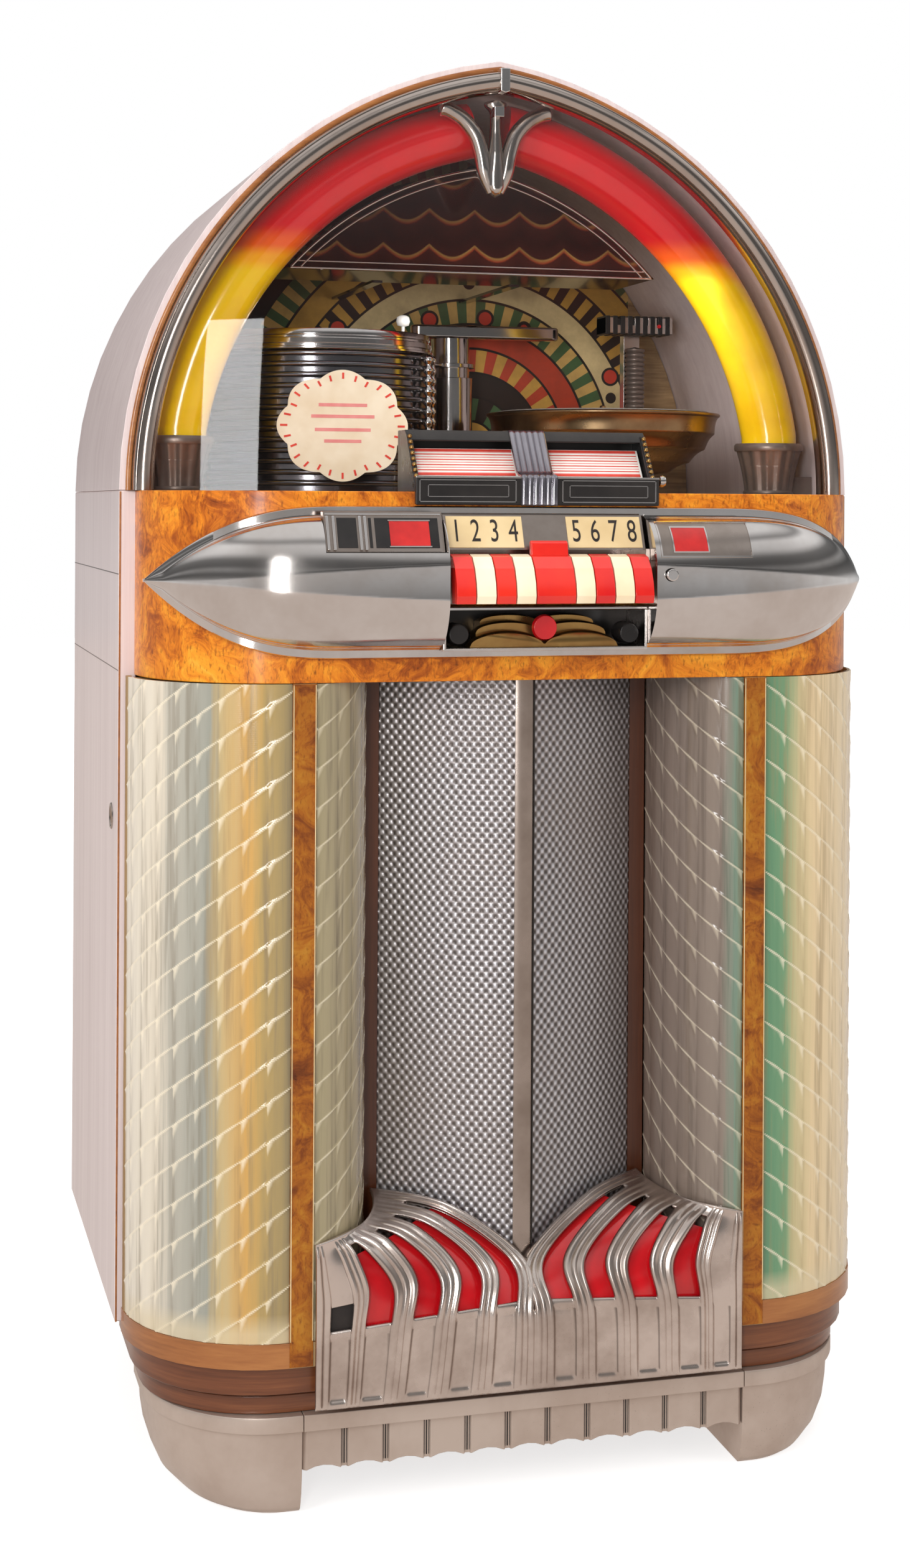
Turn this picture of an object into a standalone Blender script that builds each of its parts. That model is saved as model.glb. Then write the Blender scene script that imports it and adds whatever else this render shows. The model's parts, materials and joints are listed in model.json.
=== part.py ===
# Jukebox: every sub-part as its own closed solid, in metres, +Z up, front towards -Y.
# The origin is the middle of the bottom of the whole box.
import bpy
import bmesh
from math import acos, atan2, cos, pi, radians, sin, sqrt
from mathutils import Vector

for old in list(bpy.data.objects):
    bpy.data.objects.remove(old)

# Driving sizes of the whole cabinet
cabinet_width = 0.785
cabinet_depth = 0.6644
cabinet_height = 1.435
shell_base = 0.9855          # height of the seam between cabinet and dome
wall_bottom = 0.1566         # the side walls stop here, above the feet
seat_gap = 0.0003            # gap between pieces that touch
overrun = 0.01               # how far a cutter runs past its wall
merge_distance = 0.00001     # points closer than this are one point
small_sides = 20             # sides of small round pieces

# Where things stand in depth
bezel_reach = 0.0659         # keys in front of the burl band
door_reach = 0.1414          # burl band in front of the side walls
door_gap = 0.003             # hinge gap between door and walls
lid_setback = 0.0085         # walls in front of the rear hinge barrel
half_width = cabinet_width / 2
key_front = -cabinet_depth / 2
front = key_front + bezel_reach
wall_front = front + door_reach
door_back = wall_front - door_gap
rear = cabinet_depth / 2
wall_rear = rear - lid_setback

# Boards
wall_thickness = 0.018
wall_edge = 0.0012
floor_thickness = 0.018
floor_front = 0.012          # floor board behind the wall front
shelf_thickness = 0.012
shelf_drop = 0.033           # shelf top below the seam
back_thickness = 0.012
inner_half = half_width - wall_thickness
shelf_top = shell_base - shelf_drop
floor_top = wall_bottom + floor_thickness

# Rear legs under the floor board
leg_width = 0.06
leg_depth = 0.08
leg_inset = 0.0625
leg_rear_inset = 0.002

# Rear cover: slots and mains inlet
vent_count = 7
vent_width = 0.3
vent_height = 0.008
vent_pitch = 0.022
vent_low = 0.62
inlet_width = 0.028
inlet_height = 0.02
inlet_low = 0.2
inlet_x = 0.22

# Front plan: two quarter ellipses and a flat middle
corner_reach = 0.1504        # from the side to the tall burl post
side_reveal = 0.0062         # side wall left showing beside the door
corner_steps = 10
post_width = 0.0227
post_outer = half_width - corner_reach
post_inner = post_outer - post_width
door_half = half_width - side_reveal

# Base rings
ring_top = 0.172             # top of the burl ring, under the panels
ring_height = 0.0237
ring_gap = 0.002
step_high = 0.0263
step_groove = 0.0036
step_low = 0.0175
step_inset = 0.009
groove_inset = 0.022
low_inset = 0.018
plinth_back = 0.09           # how far the base rings run back past the wall front
ring_bottom = ring_top - ring_height
plinth_top = ring_bottom - ring_gap
foot_top = plinth_top - step_high - step_groove - step_low

# Cast feet and apron
lip_height = 0.0163
lip_inset = 0.008
foot_inner = 0.2266
foot_back = 0.055            # foot runs back past the wall front
foot_height_shares = (1.0, 0.84, 0.835, 0.45, 0.2, 0.07, 0.0)
foot_side_inset = 0.064      # how far the foot draws in at the floor
foot_front_inset = 0.027
foot_side_shares = (0.125, 0.14, 0.258, 0.328, 0.5625, 0.844, 1.0)
foot_front_shares = (0.296, 0.296, 0.481, 0.519, 0.63, 0.815, 1.0)
apron_panels = 11
apron_recess = 0.009
apron_panel_rise = 0.003
apron_rib_width = 0.0075
apron_drop = 0.056           # apron below the foot top
apron_scallop = 0.004
apron_depth = 0.03
apron_gap = 0.0006
apron_steps = 4

# Burl band across the front
band_height = 0.184
band_reveal = 0.016
band_thickness = 0.016
band_cap = 0.012
band_half = half_width - band_reveal
band_bottom = shell_base - band_height
door_top = band_bottom - seat_gap

# Door frame
inner_post_width = 0.0162
inner_post_outer = 0.1501
inner_post_front = 0.1051    # inner post behind the front
rail_height = 0.0212
rail_depth = 0.067
rail_half = 0.352
stile_width = 0.006
stile_depth = 0.012
baffle_low = 0.33
baffle_high = 0.69
baffle_thickness = 0.012
joint_bite = 0.001           # how far joined shapes run into each other
inner_post_inner = inner_post_outer - inner_post_width

# Panels, grille and rib
panel_thickness = 0.003
panel_inset = 0.0006         # outer panel inside the door's front plan
grille_thickness = 0.002
grille_bow = 0.008
grille_steps = 10
rib_half = 0.0103
rib_setback = 0.035          # rib front behind the front plane
rib_thickness = 0.012

# Colour cylinders behind the outer panels
colour_radius = 0.043
colour_axis_in = 0.0825      # from the door's side to the cylinder's axis
colour_axis_back = 0.0883    # from the front plane to the cylinder's axis
colour_low = 0.02
colour_high = 0.015
colour_pin = 0.005

# Loudspeaker
speaker_radius = 0.122
speaker_mouth = 0.1
speaker_flange = 0.004
speaker_depth = 0.075
speaker_magnet = 0.045
speaker_magnet_depth = 0.032
speaker_cone = 0.003
speaker_rim_share = 0.97
speaker_throat_share = 0.5
speaker_sides = 32

# Kick casting
kick_bottom = 0.107
kick_proud = 0.0047          # lower front of the casting before the door's front
kick_wall = 0.004
kick_seat = 0.0008           # casting clear of the inner panel
kick_valley = 0.2263         # heights where the casting meets the door
kick_inner_post = 0.2846
kick_outer = 0.2652
kick_bulge = 0.022
kick_side_gap = 0.0012
kick_slots = 4
kick_rows = 16
kick_slot_rows_share = (0.3, 0.86)
kick_hole_rows_share = (0.3, 0.45)
kick_edge_shares = (0.0, 0.06, 0.14)     # plain strips beside the tall post
kick_slots_start_share = 0.2
kick_slot_width_share = 0.52
kick_fold_share = 0.64
kick_ease_share = 0.1
kick_swell_out_share = 0.6
kick_swell_up_share = 0.8
kick_swell_run = 1.1
kick_swell_power = 1.5
lens_thickness = 0.002
lens_setback = 0.0062
lens_drop = 0.0038
lens_rows_share = (0.31, 0.78)
lens_across_share = (0.95, 0.9, 0.75, 0.6, 0.45, 0.3, 0.17)
lens_steps = 8
lens_bridge = 2

# Bezel
bezel_tip_half = 0.3766
bezel_middle = 0.898
bezel_half_height = 0.0735
bezel_taper = 0.19
bezel_taper_power = 2.9
bezel_tip_forward = 0.0766   # how far the tips fall back behind the middle
bezel_back_power = 2.6
bezel_side_power = 3.2
bezel_crown_power = 0.8
bezel_depth = 0.0616
bezel_rim = 0.008
bezel_rim_depth = 0.005
bezel_tip_height = 0.0015
bezel_steps = 28
bezel_round_steps = 12
window_half = 0.1035
window_low = 0.8321
window_high = 0.965

# Keys, rod and number strips
key_count = 8
key_pitch = 0.0198
key_gap = 0.001
key_rod_height = 0.9205
key_rod_setback = 0.0285     # rod behind the keys' front
key_rod_radius = 0.0022
key_clearance = 0.0003
key_drop = 0.0415            # key's lower edge below the rod
key_depth_shares = (0.0, 0.35, 0.7, 0.92, 1.0, 0.93, 0.3, 0.14)
key_drop_shares = (-0.133, -0.072, 0.193, 0.53, 0.82, 1.0, 1.0, 0.241)
notch_steps = 6
notch_start = -60            # degrees
notch_turn = 160
carrier_thickness = 0.004
cheek_width = 0.0039
cheek_reach = 0.034
strip_low = 0.93
strip_high = 0.9635
strip_low_reach = 0.0275
strip_high_reach = 0.0135

# Coin plate and stud button
coin_outer = 0.2207
coin_inner = 0.105
coin_low = 0.9278
coin_high = 0.9662
coin_back = 0.019
coin_low_reach = 0.0467
coin_high_reach = 0.0297
coin_gap = 0.0005
stud_x = 0.1183
stud_height = 0.9062
stud_radius = 0.006
stud_length = 0.024
stud_proud = 0.003
stud_travel = 0.004
stud_gap = 0.0006

# Coin-return cup
cup_half = 0.103
cup_low = 0.8325
cup_high = 0.8745
cup_wall = 0.002
cup_back = 0.045
cup_front = 0.032

# Title holder and drum
holder_half = 0.124
holder_high = 0.0612
holder_front_setback = 0.0023
holder_top_setback = 0.0373
holder_back_setback = 0.0713
holder_lip = 0.0065
holder_slope_drop = 0.004
holder_wall = 0.002
holder_window_low_share = 0.12
holder_window_high_share = 0.88
holder_clip_half = 0.0135
drum_radius = 0.0198
drum_height = 0.0237
drum_setback = 0.0443
drum_pin = 0.003

# Dome shell, trim and windshield
shell_thickness = 0.016
arch_steps = 16
trim_outer = 0.012
trim_inner = 0.034
trim_depth = 0.0203
trim_round_steps = 6
trim_round_power = 0.6
glass_inset = 0.0345
glass_bulge = 0.055
glass_setback = 0.012
glass_thickness = 0.003
glass_rows = 14
glass_columns = 16
lid_back_thickness = 0.01

# Light tubes, cups and ornament
tube_inset = 0.0608
tube_radius = 0.0299
tube_setback = 0.0554        # tube axis behind the wall front
tube_sides = 16
tube_low = 0.03
tube_bend = 0.064            # the tube is upright in its cup up to here
tube_end_x = 0.018
cup_top = 0.056
cup_foot_radius = 0.0265
cup_mouth_radius = 0.038
cup_flutes = 14
cup_flute_share = 0.93
cup_bore_gap = 0.0006
lug_height = 0.02
lug_depth = 0.012
lug_gap = 0.0008             # lug inside the true arc, whose chords run further in
leaf_depth = 0.018
leaf_stem_depth = 0.026
leaf_stem_half = 0.0055
leaf_height = 0.118
leaf_half = 0.066
leaf_shares = ((0.0, -1.0), (0.182, -0.95), (0.265, -0.72), (0.303, -0.508), (0.455, -0.322), (0.697, -0.178),
               (0.909, -0.153), (1.0, -0.051), (0.833, 0.0), (0.576, -0.051), (0.333, -0.203), (0.197, -0.356),
               (0.174, -0.169), (0.167, 0.0))

# Header canopy and backdrop
canopy_low = 0.238           # above the seam
canopy_inset = 0.096
canopy_front = 0.095         # behind the wall front
canopy_depth = 0.13
canopy_wall = 0.003
canopy_strap_half = 0.006
canopy_strap_x = 0.08
canopy_strap_height = 0.29
backdrop_inset = 0.017
backdrop_thickness = 0.0031
backdrop_low = 0.004

# Record changer
turntable_x = 0.165
turntable_y = 0.023
turntable_radius = 0.131
turntable_top = 0.09         # above the seam
turntable_drop = 0.075
turntable_ridges = 5
turntable_ridge = 0.003
turntable_pin = 0.0035
turntable_sides = 32
lift_radius = 0.012
lift_boss = 0.02
lift_travel = 0.06
stack_x = -0.149
stack_y = 0.085
stack_radius = 0.129
stack_top = 0.1515
stack_trays = 16
stack_groove = 0.004
stack_sides = 24
tray_thickness = 0.0025
tray_inner = 0.112
tray_gap = 0.0012
tray_arm_half = 0.009
tray_hub_wall = 0.006
post_y = 0.245
post_radius = 0.0275
post_gap = 0.0006
post_collar = 0.004
post_collar_drop = 0.012
post_top = 0.187
frame_plate = 0.004
arm_left = 0.038
arm_right = 0.136
arm_half = 0.011
arm_height = 0.016
bracket_x = 0.262
bracket_y = 0.19
bracket_width = 0.02
bracket_depth = 0.012
bracket_height = 0.214
bracket_head_length = 0.085
bracket_head_depth = 0.03
bracket_head_height = 0.02
bracket_fins = 5
bracket_foot = 0.03

# Amplifier chassis
amplifier_x = -0.06
amplifier_y = 0.2
amplifier_width = 0.36
amplifier_depth = 0.16
amplifier_height = 0.06
valve_radius = 0.018
valve_height = 0.085
valve_count = 4
transformer_width = 0.08
transformer_height = 0.095

# Lock in the left wall
lock_y = -0.0746
lock_height = 0.6544
lock_radius = 0.009
lock_gap = 0.0006
lock_length = 0.03
lock_cam_length = 0.026
lock_cam_half = 0.006
lock_cam_thickness = 0.002

# Piano hinges
lid_hinge_radius = 0.004
lid_hinge_half = 0.3
lid_leaf_width = 0.02
door_hinge_radius = 0.0025
door_hinge_inset = 0.0005    # barrel inside the wall's outer face
door_hinge_low = 0.2
door_hinge_high = 0.78
door_leaf_width = 0.012
leaf_thickness = 0.0011
leaf_root = 0.0006
pin_share = 0.4
bore_share = 0.6
knuckles = 5
knuckle_gap = 0.0006

# Materials: colour, roughness, metallic
finishes = {
    "side_veneer": ((0.62, 0.49, 0.43), 0.35, 0.0),
    "burl_veneer": ((0.62, 0.27, 0.05), 0.3, 0.0),
    "mahogany": ((0.2, 0.07, 0.03), 0.35, 0.0),
    "dark_wood": ((0.16, 0.05, 0.03), 0.4, 0.0),
    "plywood": ((0.45, 0.32, 0.19), 0.7, 0.0),
    "cast_metal": ((0.55, 0.5, 0.46), 0.4, 1.0),
    "chrome": ((0.75, 0.75, 0.76), 0.15, 1.0),
    "grey_metal": ((0.35, 0.35, 0.36), 0.45, 0.8),
    "dark_metal": ((0.05, 0.05, 0.05), 0.5, 0.5),
    "brass": ((0.7, 0.5, 0.25), 0.25, 1.0),
    "red_plastic": ((0.7, 0.02, 0.02), 0.25, 0.0),
    "yellow_plastic": ((0.85, 0.6, 0.03), 0.25, 0.0),
    "cream_plastic": ((0.8, 0.72, 0.5), 0.3, 0.0),
    "pilaster_plastic": ((0.75, 0.7, 0.5), 0.3, 0.0),
    "clear_plastic": ((0.9, 0.9, 0.9), 0.05, 0.0),
    "grille_weave": ((0.55, 0.55, 0.56), 0.4, 0.9),
    "printed_board": ((0.35, 0.2, 0.12), 0.6, 0.0),
    "paper_cone": ((0.1, 0.09, 0.08), 0.8, 0.0),
}
materials = {}


def finish(name):
    # One Principled material for each finish, made when first asked for
    if name not in materials:
        colour, roughness, metallic = finishes[name]
        made = bpy.data.materials.new(name)
        made.use_nodes = True
        shader = made.node_tree.nodes["Principled BSDF"]
        shader.inputs["Base Color"].default_value = (*colour, 1.0)
        shader.inputs["Roughness"].default_value = roughness
        shader.inputs["Metallic"].default_value = metallic
        materials[name] = made
    return materials[name]


def place(name, mesh_data, look=None):
    # Turns a bmesh into a named object with outward faces
    bmesh.ops.recalc_face_normals(mesh_data, faces=mesh_data.faces)
    mesh = bpy.data.meshes.new(name)
    mesh_data.to_mesh(mesh)
    mesh_data.free()
    thing = bpy.data.objects.new(name, mesh)
    bpy.context.scene.collection.objects.link(thing)
    if look:
        mesh.materials.append(finish(look))
        mesh.shade_smooth()
        mesh.set_sharp_from_angle(angle=radians(30))
    return thing


def loft(rings, closed=False):
    # Skins a row of point rings; open rows get flat ends
    made = bmesh.new()
    rows = [[made.verts.new(point) for point in ring] for ring in rings]
    count = len(rows[0])
    last = len(rows) if closed else len(rows) - 1
    for index in range(last):
        here = rows[index]
        after = rows[(index + 1) % len(rows)]
        for step in range(count):
            beside = (step + 1) % count
            made.faces.new((here[step], here[beside], after[beside], after[step]))
    if not closed:
        made.faces.new(rows[0])
        made.faces.new(rows[-1])
    return made


def prism(outline, low, high, axis="z"):
    # Extrudes a flat outline along one axis; the outline's two numbers are the other two axes in order
    order = {"x": lambda a, b, h: (h, a, b), "y": lambda a, b, h: (a, h, b), "z": lambda a, b, h: (a, b, h)}
    put = order[axis]
    return loft([[put(a, b, low) for a, b in outline], [put(a, b, high) for a, b in outline]])


def box(low, high):
    outline = ((low[0], low[1]), (high[0], low[1]), (high[0], high[1]), (low[0], high[1]))
    return prism(outline, low[2], high[2])


def turned(profile, centre, sides, axis="z"):
    # Turns a closed profile of (radius, height) pairs about an axis through centre
    put = {"x": lambda c, s, h: (h, c, s), "y": lambda c, s, h: (c, h, s), "z": lambda c, s, h: (c, s, h)}[axis]
    rings = []
    for index in range(sides):
        angle = 2 * pi * index / sides
        rings.append([Vector(centre) + Vector(put(r * cos(angle), r * sin(angle), h)) for r, h in profile])
    made = loft(rings, closed=True)
    bmesh.ops.remove_doubles(made, verts=made.verts, dist=merge_distance)
    bmesh.ops.dissolve_degenerate(made, edges=made.edges, dist=merge_distance)
    return made


def hidden(name, mesh_data):
    # A cutter or a joining shape, left out of the model itself
    guide = place(name, mesh_data)
    guide.hide_render = True
    guide.display_type = "WIRE"
    return guide


def change(thing, mesh_data, operation):
    step = thing.modifiers.new(operation.lower(), "BOOLEAN")
    step.operation = operation
    step.object = hidden(f"{thing.name}_{operation.lower()}_{len(thing.modifiers)}", mesh_data)


def cut(thing, mesh_data):
    change(thing, mesh_data, "DIFFERENCE")


def join(thing, mesh_data):
    change(thing, mesh_data, "UNION")


def soften(thing, width):
    edge = thing.modifiers.new("edge", "BEVEL")
    edge.width = width
    edge.segments = 1


def mirrored(points):
    # Both sides of an outline: its points, then their mirror images in turn
    return list(points) + [(-a, b) for a, b in reversed(points)]


def corner(centre_x, back, reach_x, reach_y, steps=corner_steps):
    # A quarter ellipse from the front flat round to the side
    turn = [pi / 2 * index / steps for index in range(steps + 1)]
    return [(centre_x + reach_x * sin(a), back - reach_y * cos(a)) for a in turn]


def front_plan(side_inset, front_inset, back):
    # The cabinet's front seen from above, closed by a straight back
    reach_x = door_half - post_outer - side_inset
    reach_y = door_back - front - front_inset
    right = corner(post_outer, door_back, reach_x, reach_y)
    right.append((post_outer + reach_x, back))
    return mirrored(right)


# The arch: two arcs from the seam to a point, their centres past the middle
rise = cabinet_height - shell_base
arch_offset = (rise ** 2 - half_width ** 2) / (2 * half_width)
arch_radius = half_width + arch_offset


def arch_side(inset, steps=arch_steps, low=shell_base, end_x=0.0):
    # Right half of the arch at an inset, from the seam up to the middle or to end_x
    radius = arch_radius - inset
    first = atan2(low - shell_base, sqrt(radius ** 2 - (low - shell_base) ** 2))
    last = acos((arch_offset + end_x) / radius)
    turns = [first + (last - first) * index / steps for index in range(steps + 1)]
    return [(radius * cos(a) - arch_offset, shell_base + radius * sin(a)) for a in turns]


def arch_outline(inset, low=shell_base, steps=arch_steps):
    # The whole arch at an inset, closed along its foot
    right = arch_side(inset, steps, low)
    return right + [(-x, z) for x, z in reversed(right[:-1])]


def arch_foot(height, inset):
    return sqrt((arch_radius - inset) ** 2 - (height - shell_base) ** 2) - arch_offset


def build_walls():
    for side, name in ((-1, "side_wall_left"), (1, "side_wall_right")):
        edges = sorted((side * inner_half, side * half_width))
        wall = place(name, box((edges[0], wall_front, wall_bottom), (edges[1], wall_rear, shell_base)), "side_veneer")
        soften(wall, wall_edge)
        if side < 0:
            bore = [(0, -wall_thickness), (lock_radius + lock_gap, -wall_thickness)]
            bore += [(lock_radius + lock_gap, wall_thickness), (0, wall_thickness)]
            cut(wall, turned(bore, (-half_width, lock_y, lock_height), small_sides, "x"))
        else:
            x, y = door_axis()
            spread = door_hinge_radius + knuckle_gap
            cut(wall, box((x - spread, wall_front - overrun, door_hinge_low - knuckle_gap),
                          (half_width + overrun, y + spread, door_hinge_high + knuckle_gap)))


def build_floor():
    # Board on the side walls, with two rear legs and a batten that stands on the plinth
    half = inner_half - seat_gap
    board = place("floor_board", box((-half, wall_front + floor_front, wall_bottom),
                                     (half, wall_rear - back_thickness - seat_gap, floor_top)), "plywood")
    back = wall_rear - back_thickness - leg_rear_inset
    for side in (-1, 1):
        across = sorted((side * (half_width - leg_inset), side * (half_width - leg_inset - leg_width)))
        high = wall_bottom + joint_bite
        join(board, box((across[0], back - leg_depth, 0), (across[1], back, high)))
    batten = half - low_inset
    join(board, box((-batten, wall_front + floor_front + joint_bite, plinth_top + seat_gap),
                    (batten, wall_front + plinth_back - low_inset, wall_bottom + joint_bite)))


def build_back():
    half = inner_half - seat_gap
    low = wall_bottom
    cover = place("lower_back_panel", box((-half, wall_rear - back_thickness, low),
                                          (half, wall_rear, shell_base - seat_gap)), "plywood")
    for index in range(vent_count):
        bottom = vent_low + index * vent_pitch
        cut(cover, box((-vent_width / 2, wall_rear - back_thickness - overrun, bottom),
                       (vent_width / 2, wall_rear + overrun, bottom + vent_height)))
    cut(cover, box((inlet_x, wall_rear - back_thickness - overrun, inlet_low),
                   (inlet_x + inlet_width, wall_rear + overrun, inlet_low + inlet_height)))


def build_shelf():
    half = inner_half - seat_gap
    back = wall_rear - back_thickness - seat_gap
    place("mechanism_shelf", box((-half, wall_front, shelf_top - shelf_thickness), (half, back, shelf_top)), "plywood")


def build_plinth():
    # Two mahogany steps with a groove between them, as one stack of front plans
    low = foot_top + seat_gap
    back = wall_front + plinth_back - seat_gap
    heights = (low, low + step_low, low + step_low, low + step_low + step_groove,
               low + step_low + step_groove, plinth_top)
    insets = (low_inset, low_inset, groove_inset, groove_inset, step_inset, step_inset)
    rings = [[(x, y, z) for x, y in front_plan(inset, inset, back)] for z, inset in zip(heights, insets)]
    place("plinth", loft(rings), "mahogany")


def build_feet():
    back = wall_front + foot_back
    for side, name in ((-1, "foot_left"), (1, "foot_right")):
        rings = []
        for share, side_share, front_share in zip(foot_height_shares, foot_side_shares, foot_front_shares):
            reach_x = door_half - post_outer - foot_side_inset * side_share
            reach_y = door_back - front - foot_front_inset * front_share
            plan = [(foot_inner, door_back - reach_y)] + corner(post_outer, door_back, reach_x, reach_y)
            plan += [(post_outer + reach_x, back), (foot_inner, back)]
            rings.append([(side * x, y, foot_top * share) for x, y in plan])
        place(name, loft(rings), "cast_metal")


def build_apron():
    # A lip on top, then raised panels between ribs with a scalloped lower edge
    lip_front = front + lip_inset
    face = lip_front + apron_recess
    raised = face - apron_panel_rise
    half = foot_inner - apron_gap
    pitch = 2 * half / apron_panels
    flat = (pitch - apron_rib_width) / 2
    rows = []
    for panel in range(apron_panels):
        middle = -half + pitch * (panel + 0.5)
        for step in range(apron_steps + 1):
            share = 2 * step / apron_steps - 1
            rows.append((middle + flat * share, raised, apron_scallop * (1 - share ** 2)))
        if panel < apron_panels - 1:
            edge = middle + pitch / 2
            rows.append((edge - apron_rib_width / 4, face, 0))
            rows.append((edge + apron_rib_width / 4, face, 0))
    rows = [(-half, face, 0)] + rows + [(half, face, 0)]
    low = foot_top - apron_drop
    rings = []
    for x, y, lift in rows:
        rings.append([(x, lip_front, foot_top), (x, lip_front, foot_top - lip_height), (x, y, foot_top - lip_height),
                      (x, y, low + lift), (x, face + apron_depth, low + lift), (x, face + apron_depth, foot_top)])
    place("apron", loft(rings), "cast_metal")


def build_amplifier():
    low = floor_top + seat_gap
    chassis = place("amplifier_chassis", box(
        (amplifier_x - amplifier_width / 2, amplifier_y - amplifier_depth / 2, low),
        (amplifier_x + amplifier_width / 2, amplifier_y + amplifier_depth / 2, low + amplifier_height)), "grey_metal")
    deck = low + amplifier_height
    left = amplifier_x - amplifier_width / 2
    for index in range(valve_count):
        x = left + (index + 1) * amplifier_width / (2 * valve_count)
        shape = [(0, -joint_bite), (valve_radius, -joint_bite), (valve_radius, valve_height - valve_radius),
                 (valve_radius / 2, valve_height), (0, valve_height)]
        join(chassis, turned(shape, (x, amplifier_y - amplifier_depth / 4, deck), corner_steps))
    right = amplifier_x + amplifier_width / 2 - overrun
    join(chassis, box((right - transformer_width, amplifier_y - transformer_width / 2, deck - joint_bite),
                      (right, amplifier_y + transformer_width / 2, deck + transformer_height)))


def band_plan(inset, back):
    reach_x = band_half - post_outer - inset
    reach_y = wall_front - front - inset
    right = corner(post_outer, wall_front, reach_x, reach_y)
    right.append((post_outer + reach_x, back))
    return mirrored(right)


def build_band():
    back = wall_front - seat_gap
    right = corner(post_outer, wall_front, band_half - post_outer, wall_front - front)[:-1]
    right.append((band_half, back))
    band = place("selector_band", prism(mirrored(right), band_bottom, shell_base), "burl_veneer")
    cut(band, prism(band_plan(band_thickness, back + overrun), band_bottom - overrun, shell_base - band_cap))
    cut(band, box((-cup_half - seat_gap, front - overrun, cup_low - seat_gap),
                  (cup_half + seat_gap, front + band_thickness + overrun, cup_high + seat_gap)))


def bezel_back(x):
    # Flat on the band in the middle, easing forward of it towards the tips
    past = max(0.0, (abs(x) - post_outer) / (bezel_tip_half - post_outer))
    return front - seat_gap + bezel_tip_forward * past ** bezel_back_power


def bezel_reach_at(x):
    share = abs(x) / bezel_tip_half
    return bezel_rim_depth + (bezel_depth - bezel_rim_depth) * max(0.0, 1 - share ** bezel_side_power) ** bezel_crown_power


def build_bezel():
    rings = []
    for index in range(bezel_steps + 1):
        x = -bezel_tip_half * cos(pi * index / bezel_steps)
        near = min(1.0, (bezel_tip_half - abs(x)) / bezel_taper)
        height = max(bezel_tip_height, bezel_half_height * (1 - (1 - near) ** bezel_taper_power))
        back = bezel_back(x)
        depth = bezel_reach_at(x)
        dome = max(height - bezel_rim, height / 2)
        ring = [(x, back, bezel_middle - height), (x, back - bezel_rim_depth / 2, bezel_middle - height)]
        for step in range(bezel_round_steps + 1):
            angle = -pi / 2 + pi * step / bezel_round_steps
            out = bezel_rim_depth
            if 0 < step < bezel_round_steps:
                out += (depth - bezel_rim_depth) * cos(angle) ** bezel_crown_power
            ring.append((x, back - out, bezel_middle + dome * sin(angle)))
        ring += [(x, back - bezel_rim_depth / 2, bezel_middle + height), (x, back, bezel_middle + height)]
        rings.append(ring)
    bezel = place("bezel", loft(rings), "chrome")
    cut(bezel, box((-window_half, key_front - overrun, window_low), (window_half, front + overrun, window_high)))
    cut(bezel, box((-coin_outer - coin_gap, key_front - overrun, coin_low - coin_gap),
                   (-coin_inner + coin_gap, front - coin_back + seat_gap, coin_high + coin_gap)))
    stud_back = stud_seat() + stud_travel + stud_gap
    shape = [(0, 0), (stud_radius + stud_gap, 0), (stud_radius + stud_gap, -overrun * 4), (0, -overrun * 4)]
    cut(bezel, turned(shape, (stud_x, stud_back, stud_height), small_sides, "y"))


def stud_seat():
    # Rear end of the stud: its length behind its proud face
    return bezel_back(stud_x) - bezel_reach_at(stud_x) - stud_proud + stud_length


def build_stud():
    rear_end = stud_seat()
    shape = [(0, 0), (stud_radius, 0), (stud_radius, -stud_length), (0, -stud_length)]
    place("cancel_button", turned(shape, (stud_x, rear_end, stud_height), small_sides, "y"), "chrome")


def build_coin_plate():
    outline = ((front - coin_back, coin_low), (front - coin_low_reach, coin_low),
               (front - coin_high_reach, coin_high), (front - coin_back, coin_high))
    place("coin_plate", prism(outline, -coin_outer, -coin_inner, "x"), "chrome")


def build_key_frame():
    # Back plate with number strips, two cheeks and the rod that the keys rock on
    back = front - seat_gap
    plate_front = back - carrier_thickness
    half = window_half - seat_gap
    low = cup_high + cup_wall
    frame = place("key_frame", box((-half, plate_front, low), (half, back, window_high - seat_gap)), "chrome")
    strip = ((plate_front + joint_bite, strip_low), (plate_front - strip_low_reach, strip_low),
             (plate_front - strip_high_reach, strip_high), (plate_front + joint_bite, strip_high))
    join(frame, prism(strip, -half + cheek_width / 2, half - cheek_width / 2, "x"))
    for side in (-1, 1):
        across = sorted((side * half, side * (half - cheek_width)))
        join(frame, box((across[0], plate_front - cheek_reach, key_rod_height - cheek_width * 2),
                        (across[1], plate_front + joint_bite, strip_low + joint_bite)))
    rod = [(0, -half + joint_bite), (key_rod_radius, -half + joint_bite), (key_rod_radius, half - joint_bite),
           (0, half - joint_bite)]
    join(frame, turned(rod, (0, key_front + key_rod_setback, key_rod_height), corner_steps, "x"))


def key_outline():
    # Side view of a key: its curved face, and a notch round the rod
    rod_y = key_front + key_rod_setback
    notch = key_rod_radius + key_clearance
    turns = [radians(notch_start + notch_turn * index / notch_steps) for index in range(notch_steps + 1)]
    points = [(rod_y - notch * cos(a), key_rod_height + notch * sin(a)) for a in turns]
    points += [(rod_y - depth * key_rod_setback, key_rod_height - drop * key_drop)
               for depth, drop in zip(key_depth_shares, key_drop_shares)]
    return points


def key_place(index):
    # Middle of key number index; the wide program key takes two places in the middle
    column = index if index < key_count / 2 else index + 2
    return (column - (key_count + 1) / 2) * key_pitch


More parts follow.
